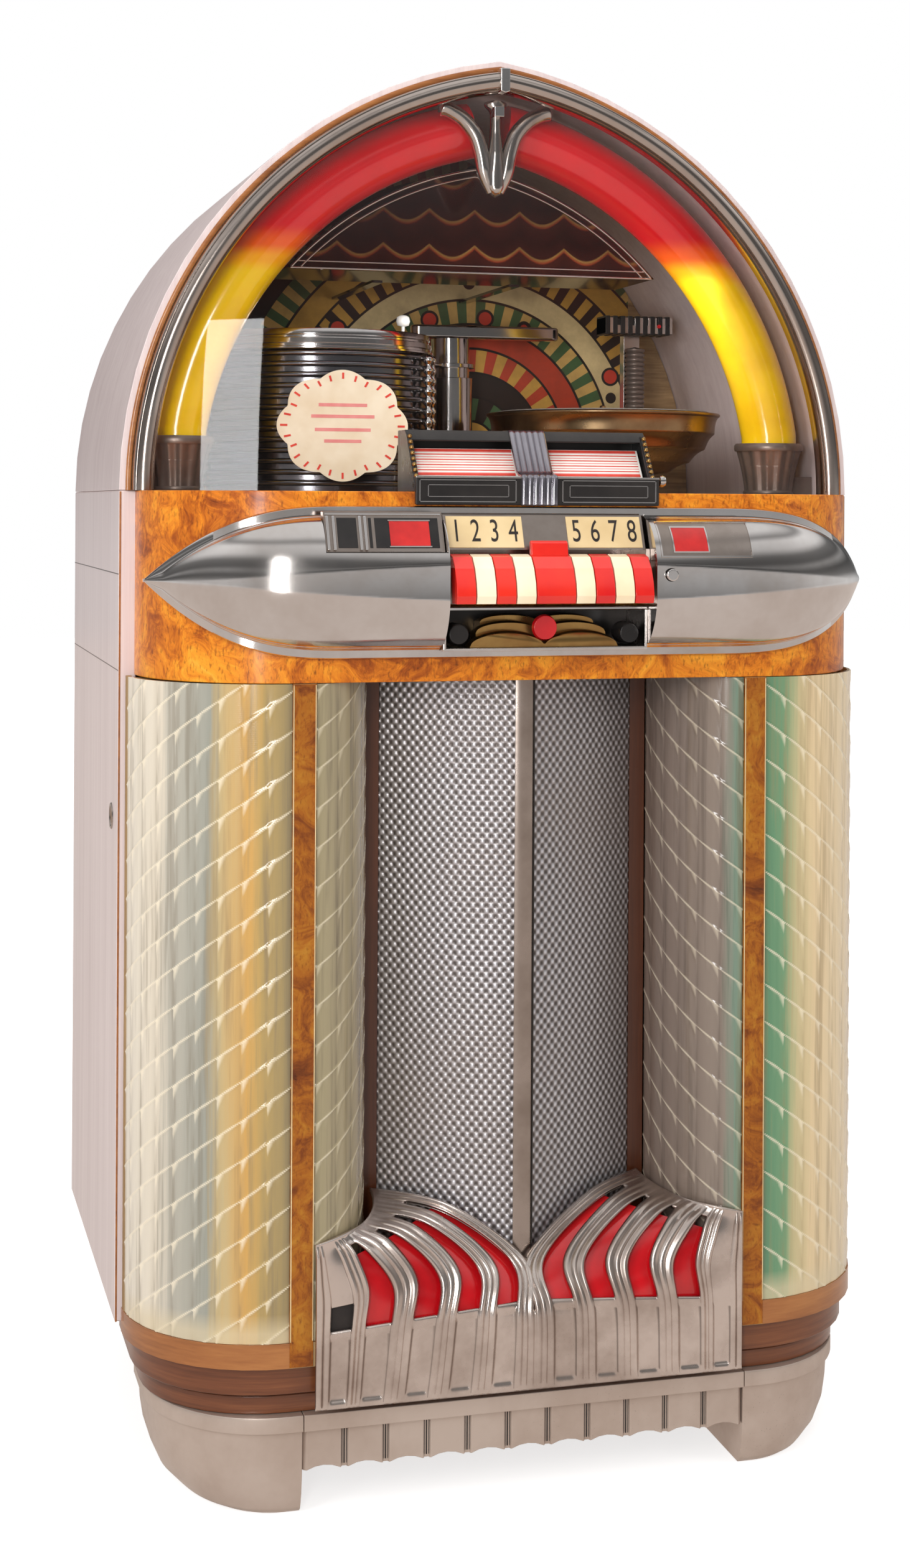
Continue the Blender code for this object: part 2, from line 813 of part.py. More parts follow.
def build_keys():
    outline = key_outline()
    for index in range(key_count):
        middle = key_place(index)
        half = (key_pitch - key_gap) / 2
        look = "red_plastic" if index in (0, 2, 5, 7) else "cream_plastic"
        place(f"key_{index + 1}", prism(outline, middle - half, middle + half, "x"), look)
    wide = key_pitch - key_gap / 2
    place("program_key", prism(outline, -wide, wide, "x"), "red_plastic")


def build_cup():
    back = front + cup_back
    mouth = front - cup_front
    cup = place("coin_return_cup", box((-cup_half, mouth, cup_low), (cup_half, back, cup_high)), "brass")
    cut(cup, box((-cup_half + cup_wall, mouth - overrun, cup_low + cup_wall),
                 (cup_half - cup_wall, back - cup_wall, cup_high - cup_wall)))


def holder_outline(shrink):
    # Side view of the title holder, shrunk evenly by a wall
    base = shell_base + seat_gap + shrink
    slope_low = base + holder_lip - shrink
    face = front + holder_front_setback + shrink
    top = shell_base + holder_high - shrink
    return [(front + holder_back_setback - shrink, base), (face, base), (face, slope_low),
            (front + holder_top_setback + shrink / 2, top - holder_slope_drop),
            (front + holder_top_setback + shrink + holder_slope_drop, top),
            (front + holder_back_setback - shrink, top)]


def build_title_holder():
    holder = place("title_holder", prism(holder_outline(0), -holder_half, holder_half, "x"), "chrome")
    cut(holder, prism(holder_outline(holder_wall), -holder_half + holder_wall, holder_half - holder_wall, "x"))
    low = Vector(holder_outline(0)[2])
    high = Vector(holder_outline(0)[3])
    along = high - low
    out = Vector((-along[1], along[0])).normalized() * holder_wall * 2
    start = low + along * holder_window_low_share
    end = low + along * holder_window_high_share
    outline = [tuple(start + out), tuple(end + out), tuple(end - out * 1.5), tuple(start - out * 1.5)]
    for side in (-1, 1):
        across = sorted((side * holder_clip_half, side * (holder_half - holder_wall * 3)))
        cut(holder, prism(outline, across[0], across[1], "x"))


def build_title_drum():
    # A three-sided drum with one face along the holder's slope, and a pin at each end
    low = Vector(holder_outline(0)[2])
    high = Vector(holder_outline(0)[3])
    slope = atan2(high[1] - low[1], high[0] - low[0])
    centre = (front + drum_setback, shell_base + drum_height)
    turns = [slope - pi / 2 + pi / 3 + index * 2 * pi / 3 for index in range(3)]
    outline = [(centre[0] - drum_radius * cos(a), centre[1] - drum_radius * sin(a)) for a in turns]
    reach = holder_half - holder_wall - drum_pin
    drum = place("title_drum", prism(outline, -reach, reach, "x"), "cream_plastic")
    end = holder_half - holder_wall - seat_gap
    pin = [(0, -end), (drum_pin, -end), (drum_pin, end), (0, end)]
    join(drum, turned(pin, (0, *centre), corner_steps, "x"))


def build_lid_shell():
    shell = place("lid_shell", prism(arch_outline(0, shell_base + seat_gap), wall_front, wall_rear, "y"),
                  "side_veneer")
    inner = arch_side(shell_thickness)
    inner = [(inner[0][0], shell_base - overrun)] + inner
    outline = inner + [(-x, z) for x, z in reversed(inner[:-1])]
    cut(shell, prism(outline, wall_front - overrun, wall_rear - lid_back_thickness, "y"))


def build_backdrop():
    back = wall_rear - lid_back_thickness - seat_gap
    outline = arch_outline(backdrop_inset, shell_base + backdrop_low)
    place("backdrop_panel", prism(outline, back - backdrop_thickness, back, "y"), "printed_board")


def build_trim():
    # A rounded chrome strip along the arch's front edge
    outer = arch_side(trim_outer)
    inner = arch_side(trim_inner)
    back = wall_front - seat_gap
    rings = []
    row = list(zip(outer, inner))
    row = row + [((-o[0], o[1]), (-i[0], i[1])) for o, i in reversed(row[:-1])]
    for out, into in row:
        start = Vector((out[0], back, max(out[1], shell_base + seat_gap)))
        end = Vector((into[0], back, max(into[1], shell_base + seat_gap)))
        ring = []
        for step in range(trim_round_steps + 1):
            angle = pi * step / trim_round_steps
            proud = trim_depth * sin(angle) ** trim_round_power if 0 < step < trim_round_steps else 0
            ring.append(start.lerp(end, (1 - cos(angle)) / 2) - Vector((0, proud, 0)))
        rings.append(ring)
    place("dome_trim", loft(rings), "chrome")


def build_windshield():
    # A bowed clear sheet, deepest at the seam's middle, given its thickness by Solidify
    made = bmesh.new()
    radius = arch_radius - glass_inset
    top = sqrt(radius ** 2 - arch_offset ** 2)
    rows = []
    for row in range(glass_rows + 1):
        height = top * sin(pi / 2 * row / glass_rows)
        half = max(0.0, sqrt(radius ** 2 - height ** 2) - arch_offset)
        bulge = glass_bulge * (1 - (height / top) ** 2)
        line = []
        for column in range(glass_columns + 1):
            share = 2 * column / glass_columns - 1
            y = wall_front - glass_setback - bulge * (1 - share ** 2)
            line.append(made.verts.new((half * share, y, shell_base + seat_gap + height)))
        rows.append(line)
    for low, high in zip(rows, rows[1:]):
        for index in range(glass_columns):
            made.faces.new((low[index], low[index + 1], high[index + 1], high[index]))
    bmesh.ops.remove_doubles(made, verts=made.verts, dist=merge_distance)
    bmesh.ops.dissolve_degenerate(made, edges=made.edges, dist=merge_distance)
    glass = place("windshield", made, "clear_plastic")
    sheet = glass.modifiers.new("sheet", "SOLIDIFY")
    sheet.thickness = glass_thickness
    sheet.offset = 0


def swept(points, radius, sides):
    # A round tube along points in a plane of constant y
    rings = []
    for index, point in enumerate(points):
        before = Vector(points[max(0, index - 1)])
        after = Vector(points[min(len(points) - 1, index + 1)])
        along = (after - before).normalized()
        across = Vector((-along.z, 0, along.x))
        turns = [2 * pi * step / sides for step in range(sides)]
        rings.append([Vector(point) + across * (radius * cos(a)) + Vector((0, radius * sin(a), 0)) for a in turns])
    return loft(rings)


def build_tubes():
    y = wall_front + tube_setback
    line = arch_side(tube_inset, arch_steps, shell_base + tube_bend, tube_end_x)
    line = [(line[0][0], shell_base + tube_low)] + line
    for side, name in ((-1, "tube_left"), (1, "tube_right")):
        place(name, swept([(side * x, y, z) for x, z in line], tube_radius, tube_sides), "red_plastic")


def build_cups():
    # Fluted cups that hold the tubes' lower ends, each with a lug to the shell
    y = wall_front + tube_setback
    x = arch_foot(shell_base + tube_bend, tube_inset)
    low = shell_base + seat_gap
    for side, name in ((-1, "ferrule_left"), (1, "ferrule_right")):
        rings = []
        for height, radius in ((0, cup_foot_radius), (cup_top, cup_mouth_radius)):
            ring = []
            for step in range(cup_flutes * 2):
                angle = pi * step / cup_flutes
                reach = radius * (1 if step % 2 else cup_flute_share)
                ring.append((side * x + reach * cos(angle), y + reach * sin(angle), low + height))
            rings.append(ring)
        cup = place(name, loft(rings), "cast_metal")
        bore = tube_radius + cup_bore_gap * 2
        floor = shell_base + tube_low - seat_gap
        shape = [(0, floor), (bore, floor), (bore, low + cup_top + overrun), (0, low + cup_top + overrun)]
        cut(cup, turned(shape, (side * x, y, 0), tube_sides * 2))
        across = sorted((side * (x + cup_foot_radius * cup_flute_share - joint_bite * 2),
                         side * (arch_foot(low + lug_height, shell_thickness) - lug_gap)))
        join(cup, box((across[0], y - lug_depth / 2, low), (across[1], y + lug_depth / 2, low + lug_height)))


def build_ornament():
    back = wall_front + tube_setback - tube_radius - seat_gap
    top = shell_base + sqrt((arch_radius - trim_inner) ** 2 - arch_offset ** 2) - seat_gap - leaf_thickness
    crown = top - overrun
    right = [(leaf_half * x, crown + leaf_height * z) for x, z in leaf_shares]
    outline = right[:-1] + [(-x, z) for x, z in reversed(right[1:-1])]
    leaves = place("apex_ornament", prism(outline, back - leaf_depth, back, "y"), "chrome")
    half = leaf_stem_half
    join(leaves, box((-half, back - leaf_stem_depth, crown - overrun * 2), (half, back - joint_bite, top - overrun)))


def build_canopy():
    # A half-moon hood under the arch's point, on two straps from the backdrop
    low = shell_base + canopy_low
    near = wall_front + canopy_front
    canopy = place("header_canopy", prism(arch_outline(canopy_inset, low, corner_steps), near, near + canopy_depth,
                                          "y"), "grey_metal")
    inner = arch_outline(canopy_inset + canopy_wall, low + canopy_wall, corner_steps)
    cut(canopy, prism(inner, near + canopy_wall, near + canopy_depth + overrun, "y"))
    back = wall_rear - lid_back_thickness - backdrop_thickness - 2 * seat_gap
    for side in (-1, 1):
        x = side * canopy_strap_x
        z = low + canopy_wall / 2
        join(canopy, box((x - canopy_strap_half, near + canopy_depth - overrun, z - canopy_wall),
                         (x + canopy_strap_half, back, z)))


def pivot():
    # The tray post: equally far from the stack's and the turntable's axes
    middle = Vector(((stack_x + turntable_x) / 2, (stack_y + turntable_y) / 2))
    across = Vector((turntable_x - stack_x, turntable_y - stack_y)).normalized()
    normal = Vector((-across.y, across.x))
    return middle + normal * ((post_y - middle.y) / normal.y)


def build_changer_frame():
    # Plate on the shelf, chrome tray post, and the bracket with the finned pickup head
    post = pivot()
    low = shelf_top + seat_gap
    plate = place("changer_frame", box((post.x - post_radius * 2, post.y - post_radius * 1.6, low),
                                       (bracket_x + bracket_foot, post.y + post_radius * 1.6, low + frame_plate)),
                  "chrome")
    high = shell_base + post_top
    collar = shell_base + stack_top - post_collar_drop
    shape = [(0, low + joint_bite), (post_radius, low + joint_bite), (post_radius, collar),
             (post_radius - post_collar, collar), (post_radius - post_collar, high), (0, high)]
    join(plate, turned(shape, (post.x, post.y, 0), tube_sides * 2))
    top = shell_base + bracket_height
    join(plate, box((bracket_x - bracket_width / 2, bracket_y + bracket_depth, low + joint_bite),
                    (bracket_x + bracket_width / 2, bracket_y + bracket_depth * 2.2, top)))
    join(plate, box((bracket_x - bracket_width / 2, bracket_y + bracket_depth * 2, low + joint_bite),
                    (bracket_x + bracket_width / 2, post.y, low + frame_plate * 2)))
    head_left = bracket_x - bracket_head_length / 2
    join(plate, box((head_left, bracket_y - bracket_head_depth / 2, top - bracket_head_height),
                    (head_left + bracket_head_length, bracket_y + bracket_depth * 1.5, top - joint_bite)))
    pitch = bracket_head_length / bracket_fins
    for index in range(1, bracket_fins):
        x = head_left + index * pitch
        cut(plate, box((x - pitch / 6, bracket_y - bracket_head_depth, top - bracket_head_height / 2),
                       (x + pitch / 6, bracket_y + bracket_depth / 2, top + overrun)))


def build_stack():
    # A pile of trays: one turned solid with a groove between each two
    low = shelf_top + seat_gap
    high = shell_base + stack_top
    pitch = (high - low) / stack_trays
    shape = [(0, low)]
    for index in range(stack_trays):
        shape.append((stack_radius - stack_groove, low + pitch * index))
        shape.append((stack_radius, low + pitch * (index + 0.5)))
    shape += [(stack_radius - stack_groove, high), (0, high)]
    place("tray_stack", turned(shape, (stack_x, stack_y, 0), stack_sides), "chrome")


def build_play_tray():
    # A flat ring with an arm to a hub that turns on the post
    post = pivot()
    low = shell_base + stack_top + tray_gap
    high = low + tray_thickness
    shape = [(tray_inner, low), (stack_radius, low), (stack_radius, high), (tray_inner, high)]
    tray = place("play_tray", turned(shape, (stack_x, stack_y, 0), turntable_sides), "chrome")
    bore = post_radius - post_collar + post_gap
    hub = [(bore, low - tray_gap), (bore + tray_hub_wall, low - tray_gap), (bore + tray_hub_wall, high + tray_gap),
           (bore, high + tray_gap)]
    away = (Vector((stack_x, stack_y)) - post)
    reach = away.length
    away.normalize()
    side = Vector((-away.y, away.x)) * tray_arm_half
    start = post + away * (bore + tray_hub_wall / 2)
    end = post + away * (reach - stack_radius + overrun)
    outline = [tuple(start + side), tuple(end + side), tuple(end - side), tuple(start - side)]
    join(tray, prism(outline, low, high))
    join(tray, turned(hub, (post.x, post.y, 0), small_sides))


def build_turntable():
    # A thin disc with a ribbed bowl under it and a hub on the lift shaft
    top = shell_base + turntable_top
    low = top - turntable_drop
    shape = [(0, low), (lift_boss, low)]
    steps = turntable_ridges * 2
    for index in range(1, steps + 1):
        share = index / steps
        ridge = turntable_ridge if index % 2 else 0
        radius = lift_boss + (turntable_radius - lift_boss) * sin(share * pi / 2)
        shape.append((radius - ridge / 2, low + (turntable_drop - frame_plate) * (1 - cos(share * pi / 2)) + ridge))
    shape += [(turntable_radius, top), (turntable_pin, top), (turntable_pin, top + overrun), (0, top + overrun)]
    place("turntable", turned(shape, (turntable_x, turntable_y, 0), turntable_sides), "brass")
    low_end = shelf_top + seat_gap
    high_end = low - seat_gap
    shaft = [(0, low_end), (lift_radius, low_end), (lift_radius, high_end), (0, high_end)]
    place("lift_column", turned(shaft, (turntable_x, turntable_y, 0), small_sides), "chrome")


def build_tonearm():
    # A chrome arm on top of the tray post, with a rounded tip
    post = pivot()
    low = shell_base + post_top + seat_gap
    turns = [radians(-90 + 180 * index / corner_steps) for index in range(corner_steps + 1)]
    right = [(post.x + arm_right - arm_half + arm_half * cos(a), post.y + arm_half * sin(a)) for a in turns]
    left = [(post.x - arm_left + arm_half * cos(a + pi), post.y + arm_half * sin(a + pi)) for a in turns]
    place("tonearm", prism(right + left, low, low + arm_height), "chrome")


def build_lock():
    # A lock barrel flush in the left wall, with its cam inside
    x = -half_width
    inner = x + lock_length
    shape = [(0, 0), (lock_radius, 0), (lock_radius, lock_length), (0, lock_length)]
    barrel = place("lock_cylinder", turned(shape, (x, lock_y, lock_height), small_sides, "x"), "brass")
    join(barrel, box((inner - lock_cam_thickness * 2, lock_y - lock_cam_half, lock_height - lock_cam_half),
                     (inner - lock_cam_thickness, lock_y + lock_cam_half, lock_height + lock_cam_length)))


def knuckle_spans(low, high, odd):
    # Every second knuckle belongs to one leaf
    pitch = (high - low) / knuckles
    spans = []
    for index in range(knuckles):
        if index % 2 == odd:
            spans.append((low + index * pitch + knuckle_gap / 2, low + (index + 1) * pitch - knuckle_gap / 2))
    return spans


def hinge_half(name, axis, centre, low, high, radius, leaf_box, odd, tabs):
    # A leaf with its knuckles; the even half carries the pin, the odd half is bored for it
    half = place(name, box(*leaf_box), "grey_metal")
    for start, end in knuckle_spans(low, high, odd):
        shape = [(0, start), (radius, start), (radius, end), (0, end)]
        join(half, turned(shape, centre, corner_steps + 2, axis))
        join(half, box(*tabs(start, end)))
    spread = radius * (bore_share if odd else pin_share)
    run = overrun if odd else -knuckle_gap
    shape = [(0, low - run), (spread, low - run), (spread, high + run), (0, high + run)]
    (cut if odd else join)(half, turned(shape, centre, corner_steps + 2, axis))


def build_lid_hinge():
    y = rear - lid_hinge_radius
    near = wall_rear + seat_gap
    across = lid_hinge_half
    for name, odd, step in (("lid_hinge_base", 0, -1), ("lid_hinge_leaf", 1, 1)):
        edge = shell_base + step * (lid_hinge_radius + leaf_root)
        far = shell_base + step * lid_leaf_width
        rows = sorted((edge, far))
        leaf = ((-across, near, rows[0]), (across, near + leaf_thickness, rows[1]))

        def tabs(start, end, step=step):
            ends = sorted((shell_base + step * leaf_root, shell_base + step * (lid_hinge_radius + leaf_root * 2)))
            return ((start, near, ends[0]), (end, y, ends[1]))
        hinge_half(name, "x", (0, y, shell_base), -across, across, lid_hinge_radius, leaf, odd, tabs)


def door_axis():
    return half_width - door_hinge_radius - door_hinge_inset, (wall_front + door_back) / 2


def build_door_hinge():
    x, y = door_axis()
    places = (("door_hinge_base", 0, wall_front - seat_gap, -1), ("door_hinge_leaf", 1, door_back + seat_gap, 1))
    for name, odd, near, step in places:
        rows = sorted((near, near + step * leaf_thickness))
        inner = x - door_hinge_radius - leaf_root
        leaf = ((inner - door_leaf_width, rows[0], door_hinge_low), (inner, rows[1], door_hinge_high))

        def tabs(start, end, rows=rows, inner=inner):
            return ((inner - leaf_root, rows[0], start), (x - door_hinge_radius / 2, rows[1], end))
        hinge_half(name, "z", (x, y, 0), door_hinge_low, door_hinge_high, door_hinge_radius, leaf, odd, tabs)


def build_door_frame():
    # Bottom ring, tall burl posts, dark inner posts, top rails, outer stiles and the loudspeaker board
    ring = front_plan(0, 0, door_back)
    del ring[corner_steps + 1:corner_steps + 3]
    frame = place("door_frame", prism(ring, ring_bottom, ring_top), "burl_veneer")
    low = ring_top - joint_bite
    for side in (-1, 1):
        tall = sorted((side * post_inner, side * post_outer))
        join(frame, box((tall[0], front, low), (tall[1], door_back, door_top)))
        dark = sorted((side * inner_post_inner, side * inner_post_outer))
        join(frame, box((dark[0], front + inner_post_front, low), (dark[1], door_back, door_top - joint_bite)))
        rail = sorted((side * (post_outer - joint_bite), side * rail_half))
        join(frame, box((rail[0], door_back - rail_depth, door_top - rail_height), (rail[1], door_back,
                                                                                  door_top - joint_bite)))
        stile = sorted((side * (door_half - joint_bite), side * (door_half - stile_width)))
        join(frame, box((stile[0], door_back - stile_depth, low), (stile[1], door_back, door_top)))
        span = sorted((side * (rail_half - joint_bite), side * (door_half - stile_width / 2)))
        join(frame, box((span[0], door_back - stile_depth / 2, door_top - rail_height), (span[1], door_back,
                                                                                       door_top - joint_bite * 2)))
    top = (post_inner + joint_bite, door_back - stile_depth, door_top - rail_height)
    join(frame, box((-top[0], top[1], top[2]), (top[0], door_back, door_top - joint_bite * 2)))
    board = inner_post_outer - joint_bite * 2
    join(frame, box((-board, door_back - baffle_thickness, baffle_low), (board, door_back - joint_bite, baffle_high)))
    middle = (baffle_low + baffle_high) / 2
    bore = [(0, -baffle_thickness - overrun), (speaker_mouth, -baffle_thickness - overrun),
            (speaker_mouth, overrun), (0, overrun)]
    cut(frame, turned(bore, (0, door_back, middle), speaker_sides, "y"))


def build_outer_panels():
    inset = panel_inset
    for side, name in ((-1, "outer_panel_left"), (1, "outer_panel_right")):
        reach_x = door_half - post_outer - inset
        reach_y = door_back - front - inset
        last = acos((stile_depth + seat_gap) / (reach_y - panel_thickness))
        turns = [last * index / corner_steps for index in range(corner_steps + 1)]
        start = post_outer + seat_gap
        out = [(start + reach_x * sin(a), door_back - reach_y * cos(a)) for a in turns]
        into = [(start + (reach_x - panel_thickness) * sin(a), door_back - (reach_y - panel_thickness) * cos(a))
                for a in turns]
        plan = [(side * min(x, door_half - inset), y) for x, y in out + into[::-1]]
        place(name, prism(plan, ring_top + seat_gap, door_top - seat_gap), "pilaster_plastic")


def build_inner_panels():
    back = front + inner_post_front
    for side, name in ((-1, "inner_panel_left"), (1, "inner_panel_right")):
        start = post_inner - seat_gap
        reach_x = start - inner_post_outer - seat_gap
        turns = [pi / 2 * index / corner_steps for index in range(corner_steps + 1)]
        out = [(start - reach_x * sin(a), back - (inner_post_front - seat_gap) * cos(a)) for a in turns]
        thin = panel_thickness
        into = [(start - (reach_x - thin) * sin(a), back - (inner_post_front - thin) * cos(a)) for a in turns]
        plan = [(side * x, y) for x, y in out + into[::-1]]
        place(name, prism(plan, ring_top + seat_gap, door_top - seat_gap), "pilaster_plastic")


def grille_line(inset):
    # Right half of the V in plan, bowed forward, from the rib to the dark post
    start = Vector((0, front + rib_setback + rib_thickness / 2 + inset))
    end = Vector((inner_post_inner - seat_gap, front + inner_post_front + inset))
    normal = Vector((end - start).yx).normalized()
    normal.x = -normal.x
    points = []
    for index in range(grille_steps + 1):
        share = index / grille_steps
        point = start.lerp(end, share)
        points.append((point.x, point.y - grille_bow * 4 * share * (1 - share)))
    return points


def build_grille():
    near = grille_line(0)
    far = grille_line(grille_thickness)
    plan = [(-x, y) for x, y in reversed(near)] + near[1:] + far[::-1] + [(-x, y) for x, y in far[1:]]
    place("grille", prism(plan, ring_top + seat_gap, door_top - seat_gap), "grille_weave")
    tip = front + rib_setback
    line = grille_line(0)
    slope = line[1][1] - line[0][1]
    across = rib_half / line[1][0]
    low = line[0][1] - seat_gap * 2
    plan = [(-rib_half, tip), (rib_half, tip), (rib_half, low + slope * across), (0, low),
            (-rib_half, low + slope * across)]
    place("centre_rib", prism(plan, ring_top + seat_gap, door_top - seat_gap), "chrome")


def kick_edge(points, share):
    # Point on a smooth curve through five chosen points
    span = share * (len(points) - 1)
    index = min(int(span), len(points) - 2)
    local = span - index
    before = points[max(0, index - 1)]
    here = points[index]
    after = points[index + 1]
    beyond = points[min(len(points) - 1, index + 2)]
    one = (after - before) / 2
    two = (beyond - here) / 2
    a = local ** 3
    b = local ** 2
    return here * (2 * a - 3 * b + 1) + one * (a - 2 * b + local) + after * (3 * b - 2 * a) + two * (a - b)


def kick_top(across, sink):
    # Upper back edge of the casting, on a quarter ellipse just in front of the inner panel
    turn = pi / 2 * across
    start = post_inner - kick_side_gap
    rim = inner_post_outer - inner_post_width / 2
    clear = kick_wall + kick_seat - sink
    back = front + inner_post_front - clear
    height = kick_outer + (kick_inner_post - kick_outer) * across
    return Vector((start - (start - rim) * sin(turn), back - inner_post_front * cos(turn), height))


def kick_surface(across, along, sink):
    # across 0 at the tall post, 1 at the middle; along 0 at the bottom, 1 at the back
    face = front - kick_proud + sink
    high = kick_top(0, sink)
    end = kick_top(1, sink)
    bend = (kick_bottom + kick_outer) / 2
    outer = [Vector((high.x, face, kick_bottom)), Vector((high.x, face - kick_proud / 5, bend)),
             Vector((high.x, face - kick_proud / 5, (bend + kick_outer) / 2)), high]
    tip = front + rib_setback - kick_wall * 2 + sink
    inner = [Vector((0, face, kick_bottom)), Vector((0, face, kick_bottom + (kick_valley - kick_bottom) * kick_fold_share)),
             Vector((0, tip, kick_valley)),
             Vector((end.x / 2, (tip + end.y) / 2 - grille_bow, kick_inner_post - kick_wall * 2)), end]
    one = kick_edge(outer, along)
    two = kick_edge(inner, along)
    ease = kick_ease_share * sin(pi * across)
    point = one.lerp(two, across + ease * along)
    point += (kick_top(across, sink) - high.lerp(end, across + ease)) * along ** 3
    swell = kick_bulge * sin(pi * across) * sin(pi * min(1.0, along * kick_swell_run)) ** kick_swell_power
    return point + Vector((0, -kick_swell_out_share * swell, kick_swell_up_share * swell * along))


def kick_columns():
    # Column edges across one half, and which of them are slots
    edges = list(kick_edge_shares)
    slots = []
    pitch = (1.0 - kick_slots_start_share) / kick_slots
    for index in range(kick_slots):
        start = kick_slots_start_share + index * pitch
        slots.append(len(edges))
        edges += [start, start + pitch * kick_slot_width_share]
    edges += [1.0]
    return edges, slots


def build_kick():
    edges, slots = kick_columns()
    made = bmesh.new()
    shared = {}
    low, high = (int(round(kick_rows * share)) for share in kick_slot_rows_share)
    hole_low, hole_high = (int(round(kick_rows * share)) for share in kick_hole_rows_share)
    middle_row = kick_rows // 2

    def vertex(side, column, row):
        on_middle = column == len(edges) - 1 and row <= middle_row
        key = (0 if on_middle else side, column, row)
        if key not in shared:
            point = kick_surface(edges[column], row / kick_rows, 0)
            shared[key] = made.verts.new((0 if on_middle else side * point.x, point.y, point.z))
        return shared[key]

    for side in (-1, 1):
        for column in range(len(edges) - 1):
            for row in range(kick_rows):
                if column in slots and low <= row < high:
                    continue
                if side < 0 and column == 1 and hole_low <= row < hole_high:
                    continue
                corners = [(column, row), (column + 1, row), (column + 1, row + 1), (column, row + 1)]
                made.faces.new([vertex(side, c, r) for c, r in (corners if side > 0 else corners[::-1])])
    kick = place("kick_casting", made, "cast_metal")
    wall = kick.modifiers.new("wall", "SOLIDIFY")
    wall.thickness = kick_wall
    wall.offset = -1


def build_lens():
    # Red plastic behind the slots: two wings, bridged below the valley
    made = bmesh.new()
    low, high = lens_rows_share
    back = Vector((0, lens_setback, -lens_drop))
    rows = []
    for side in (-1, 1):
        for share in lens_across_share[::side]:
            line = []
            for step in range(lens_steps + 1):
                along = low + (high - low) * step / lens_steps
                point = kick_surface(share, along, 0) + back
                line.append(made.verts.new((side * point.x, point.y, point.z)))
            rows.append(line)
    middle = len(lens_across_share) - 1
    for index, (one, two) in enumerate(zip(rows, rows[1:])):
        for step in range(lens_bridge if index == middle else lens_steps):
            made.faces.new((one[step], two[step], two[step + 1], one[step + 1]))
    lens = place("red_lens", made, "red_plastic")
    sheet = lens.modifiers.new("sheet", "SOLIDIFY")
    sheet.thickness = lens_thickness
    sheet.offset = -1


def build_speaker():
    # Basket, cone and magnet turned as one piece behind the board
    y = door_back - joint_bite + seat_gap
    middle = (baffle_low + baffle_high) / 2
    rim = speaker_mouth * speaker_rim_share
    throat = speaker_magnet * speaker_throat_share
    shape = [(0, speaker_depth - speaker_cone), (throat, speaker_depth - speaker_cone), (rim, 0),
             (speaker_radius, 0), (speaker_radius, speaker_flange), (rim, speaker_flange),
             (speaker_magnet, speaker_depth), (speaker_magnet, speaker_depth + speaker_magnet_depth),
             (0, speaker_depth + speaker_magnet_depth)]
    place("speaker", turned(shape, (0, y, middle), speaker_sides, "y"), "paper_cone")


def build_colour_cylinders():
    low = ring_top + seat_gap
    high = door_top - rail_height - seat_gap
    for side, name in ((-1, "colour_cylinder_left"), (1, "colour_cylinder_right")):
        centre = (side * (door_half - colour_axis_in), front + colour_axis_back, 0)
        shape = [(0, low), (colour_pin, low), (colour_pin, low + colour_low), (colour_radius, low + colour_low),
                 (colour_radius, high - colour_high), (colour_pin, high - colour_high), (colour_pin, high), (0, high)]
        place(name, turned(shape, centre, small_sides), "yellow_plastic")


build_walls()
build_floor()
build_back()
build_shelf()
build_plinth()
build_feet()
build_apron()
build_amplifier()
build_band()
build_bezel()
build_coin_plate()
build_stud()
build_key_frame()
build_keys()
build_cup()
build_title_holder()
build_title_drum()
build_lid_shell()
build_backdrop()
build_trim()
build_windshield()
build_tubes()
build_cups()
build_ornament()
build_canopy()
build_changer_frame()
build_stack()
build_play_tray()
build_turntable()
build_tonearm()
build_lock()
build_lid_hinge()
build_door_hinge()
build_door_frame()
build_outer_panels()
build_inner_panels()
build_grille()
build_kick()
build_lens()
build_speaker()
build_colour_cylinders()
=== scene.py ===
import bpy
import bmesh
import json
import numpy as np
from math import acos, atan2, cos, pi, radians, sin, sqrt
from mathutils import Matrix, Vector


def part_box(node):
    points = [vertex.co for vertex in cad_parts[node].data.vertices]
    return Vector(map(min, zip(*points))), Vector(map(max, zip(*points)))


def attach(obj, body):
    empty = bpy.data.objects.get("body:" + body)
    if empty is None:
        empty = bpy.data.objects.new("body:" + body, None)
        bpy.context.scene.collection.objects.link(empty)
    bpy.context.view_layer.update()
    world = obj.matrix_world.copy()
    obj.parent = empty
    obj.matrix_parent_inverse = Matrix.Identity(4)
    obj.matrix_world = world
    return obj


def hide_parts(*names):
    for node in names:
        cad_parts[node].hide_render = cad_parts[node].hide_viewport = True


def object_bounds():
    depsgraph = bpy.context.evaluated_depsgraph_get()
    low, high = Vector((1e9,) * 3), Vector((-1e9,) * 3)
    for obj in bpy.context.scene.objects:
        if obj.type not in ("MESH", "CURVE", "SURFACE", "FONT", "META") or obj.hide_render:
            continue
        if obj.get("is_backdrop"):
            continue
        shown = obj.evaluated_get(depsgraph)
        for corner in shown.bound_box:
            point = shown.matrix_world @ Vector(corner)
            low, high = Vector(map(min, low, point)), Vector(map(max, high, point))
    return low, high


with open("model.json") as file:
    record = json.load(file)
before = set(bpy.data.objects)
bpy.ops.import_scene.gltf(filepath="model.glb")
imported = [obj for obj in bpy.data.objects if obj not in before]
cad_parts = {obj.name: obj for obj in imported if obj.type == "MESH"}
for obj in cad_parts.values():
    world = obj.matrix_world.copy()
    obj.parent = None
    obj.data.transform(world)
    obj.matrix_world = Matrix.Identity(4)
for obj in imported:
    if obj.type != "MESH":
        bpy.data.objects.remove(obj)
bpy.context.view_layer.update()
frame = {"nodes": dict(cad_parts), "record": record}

nodes = frame["nodes"]

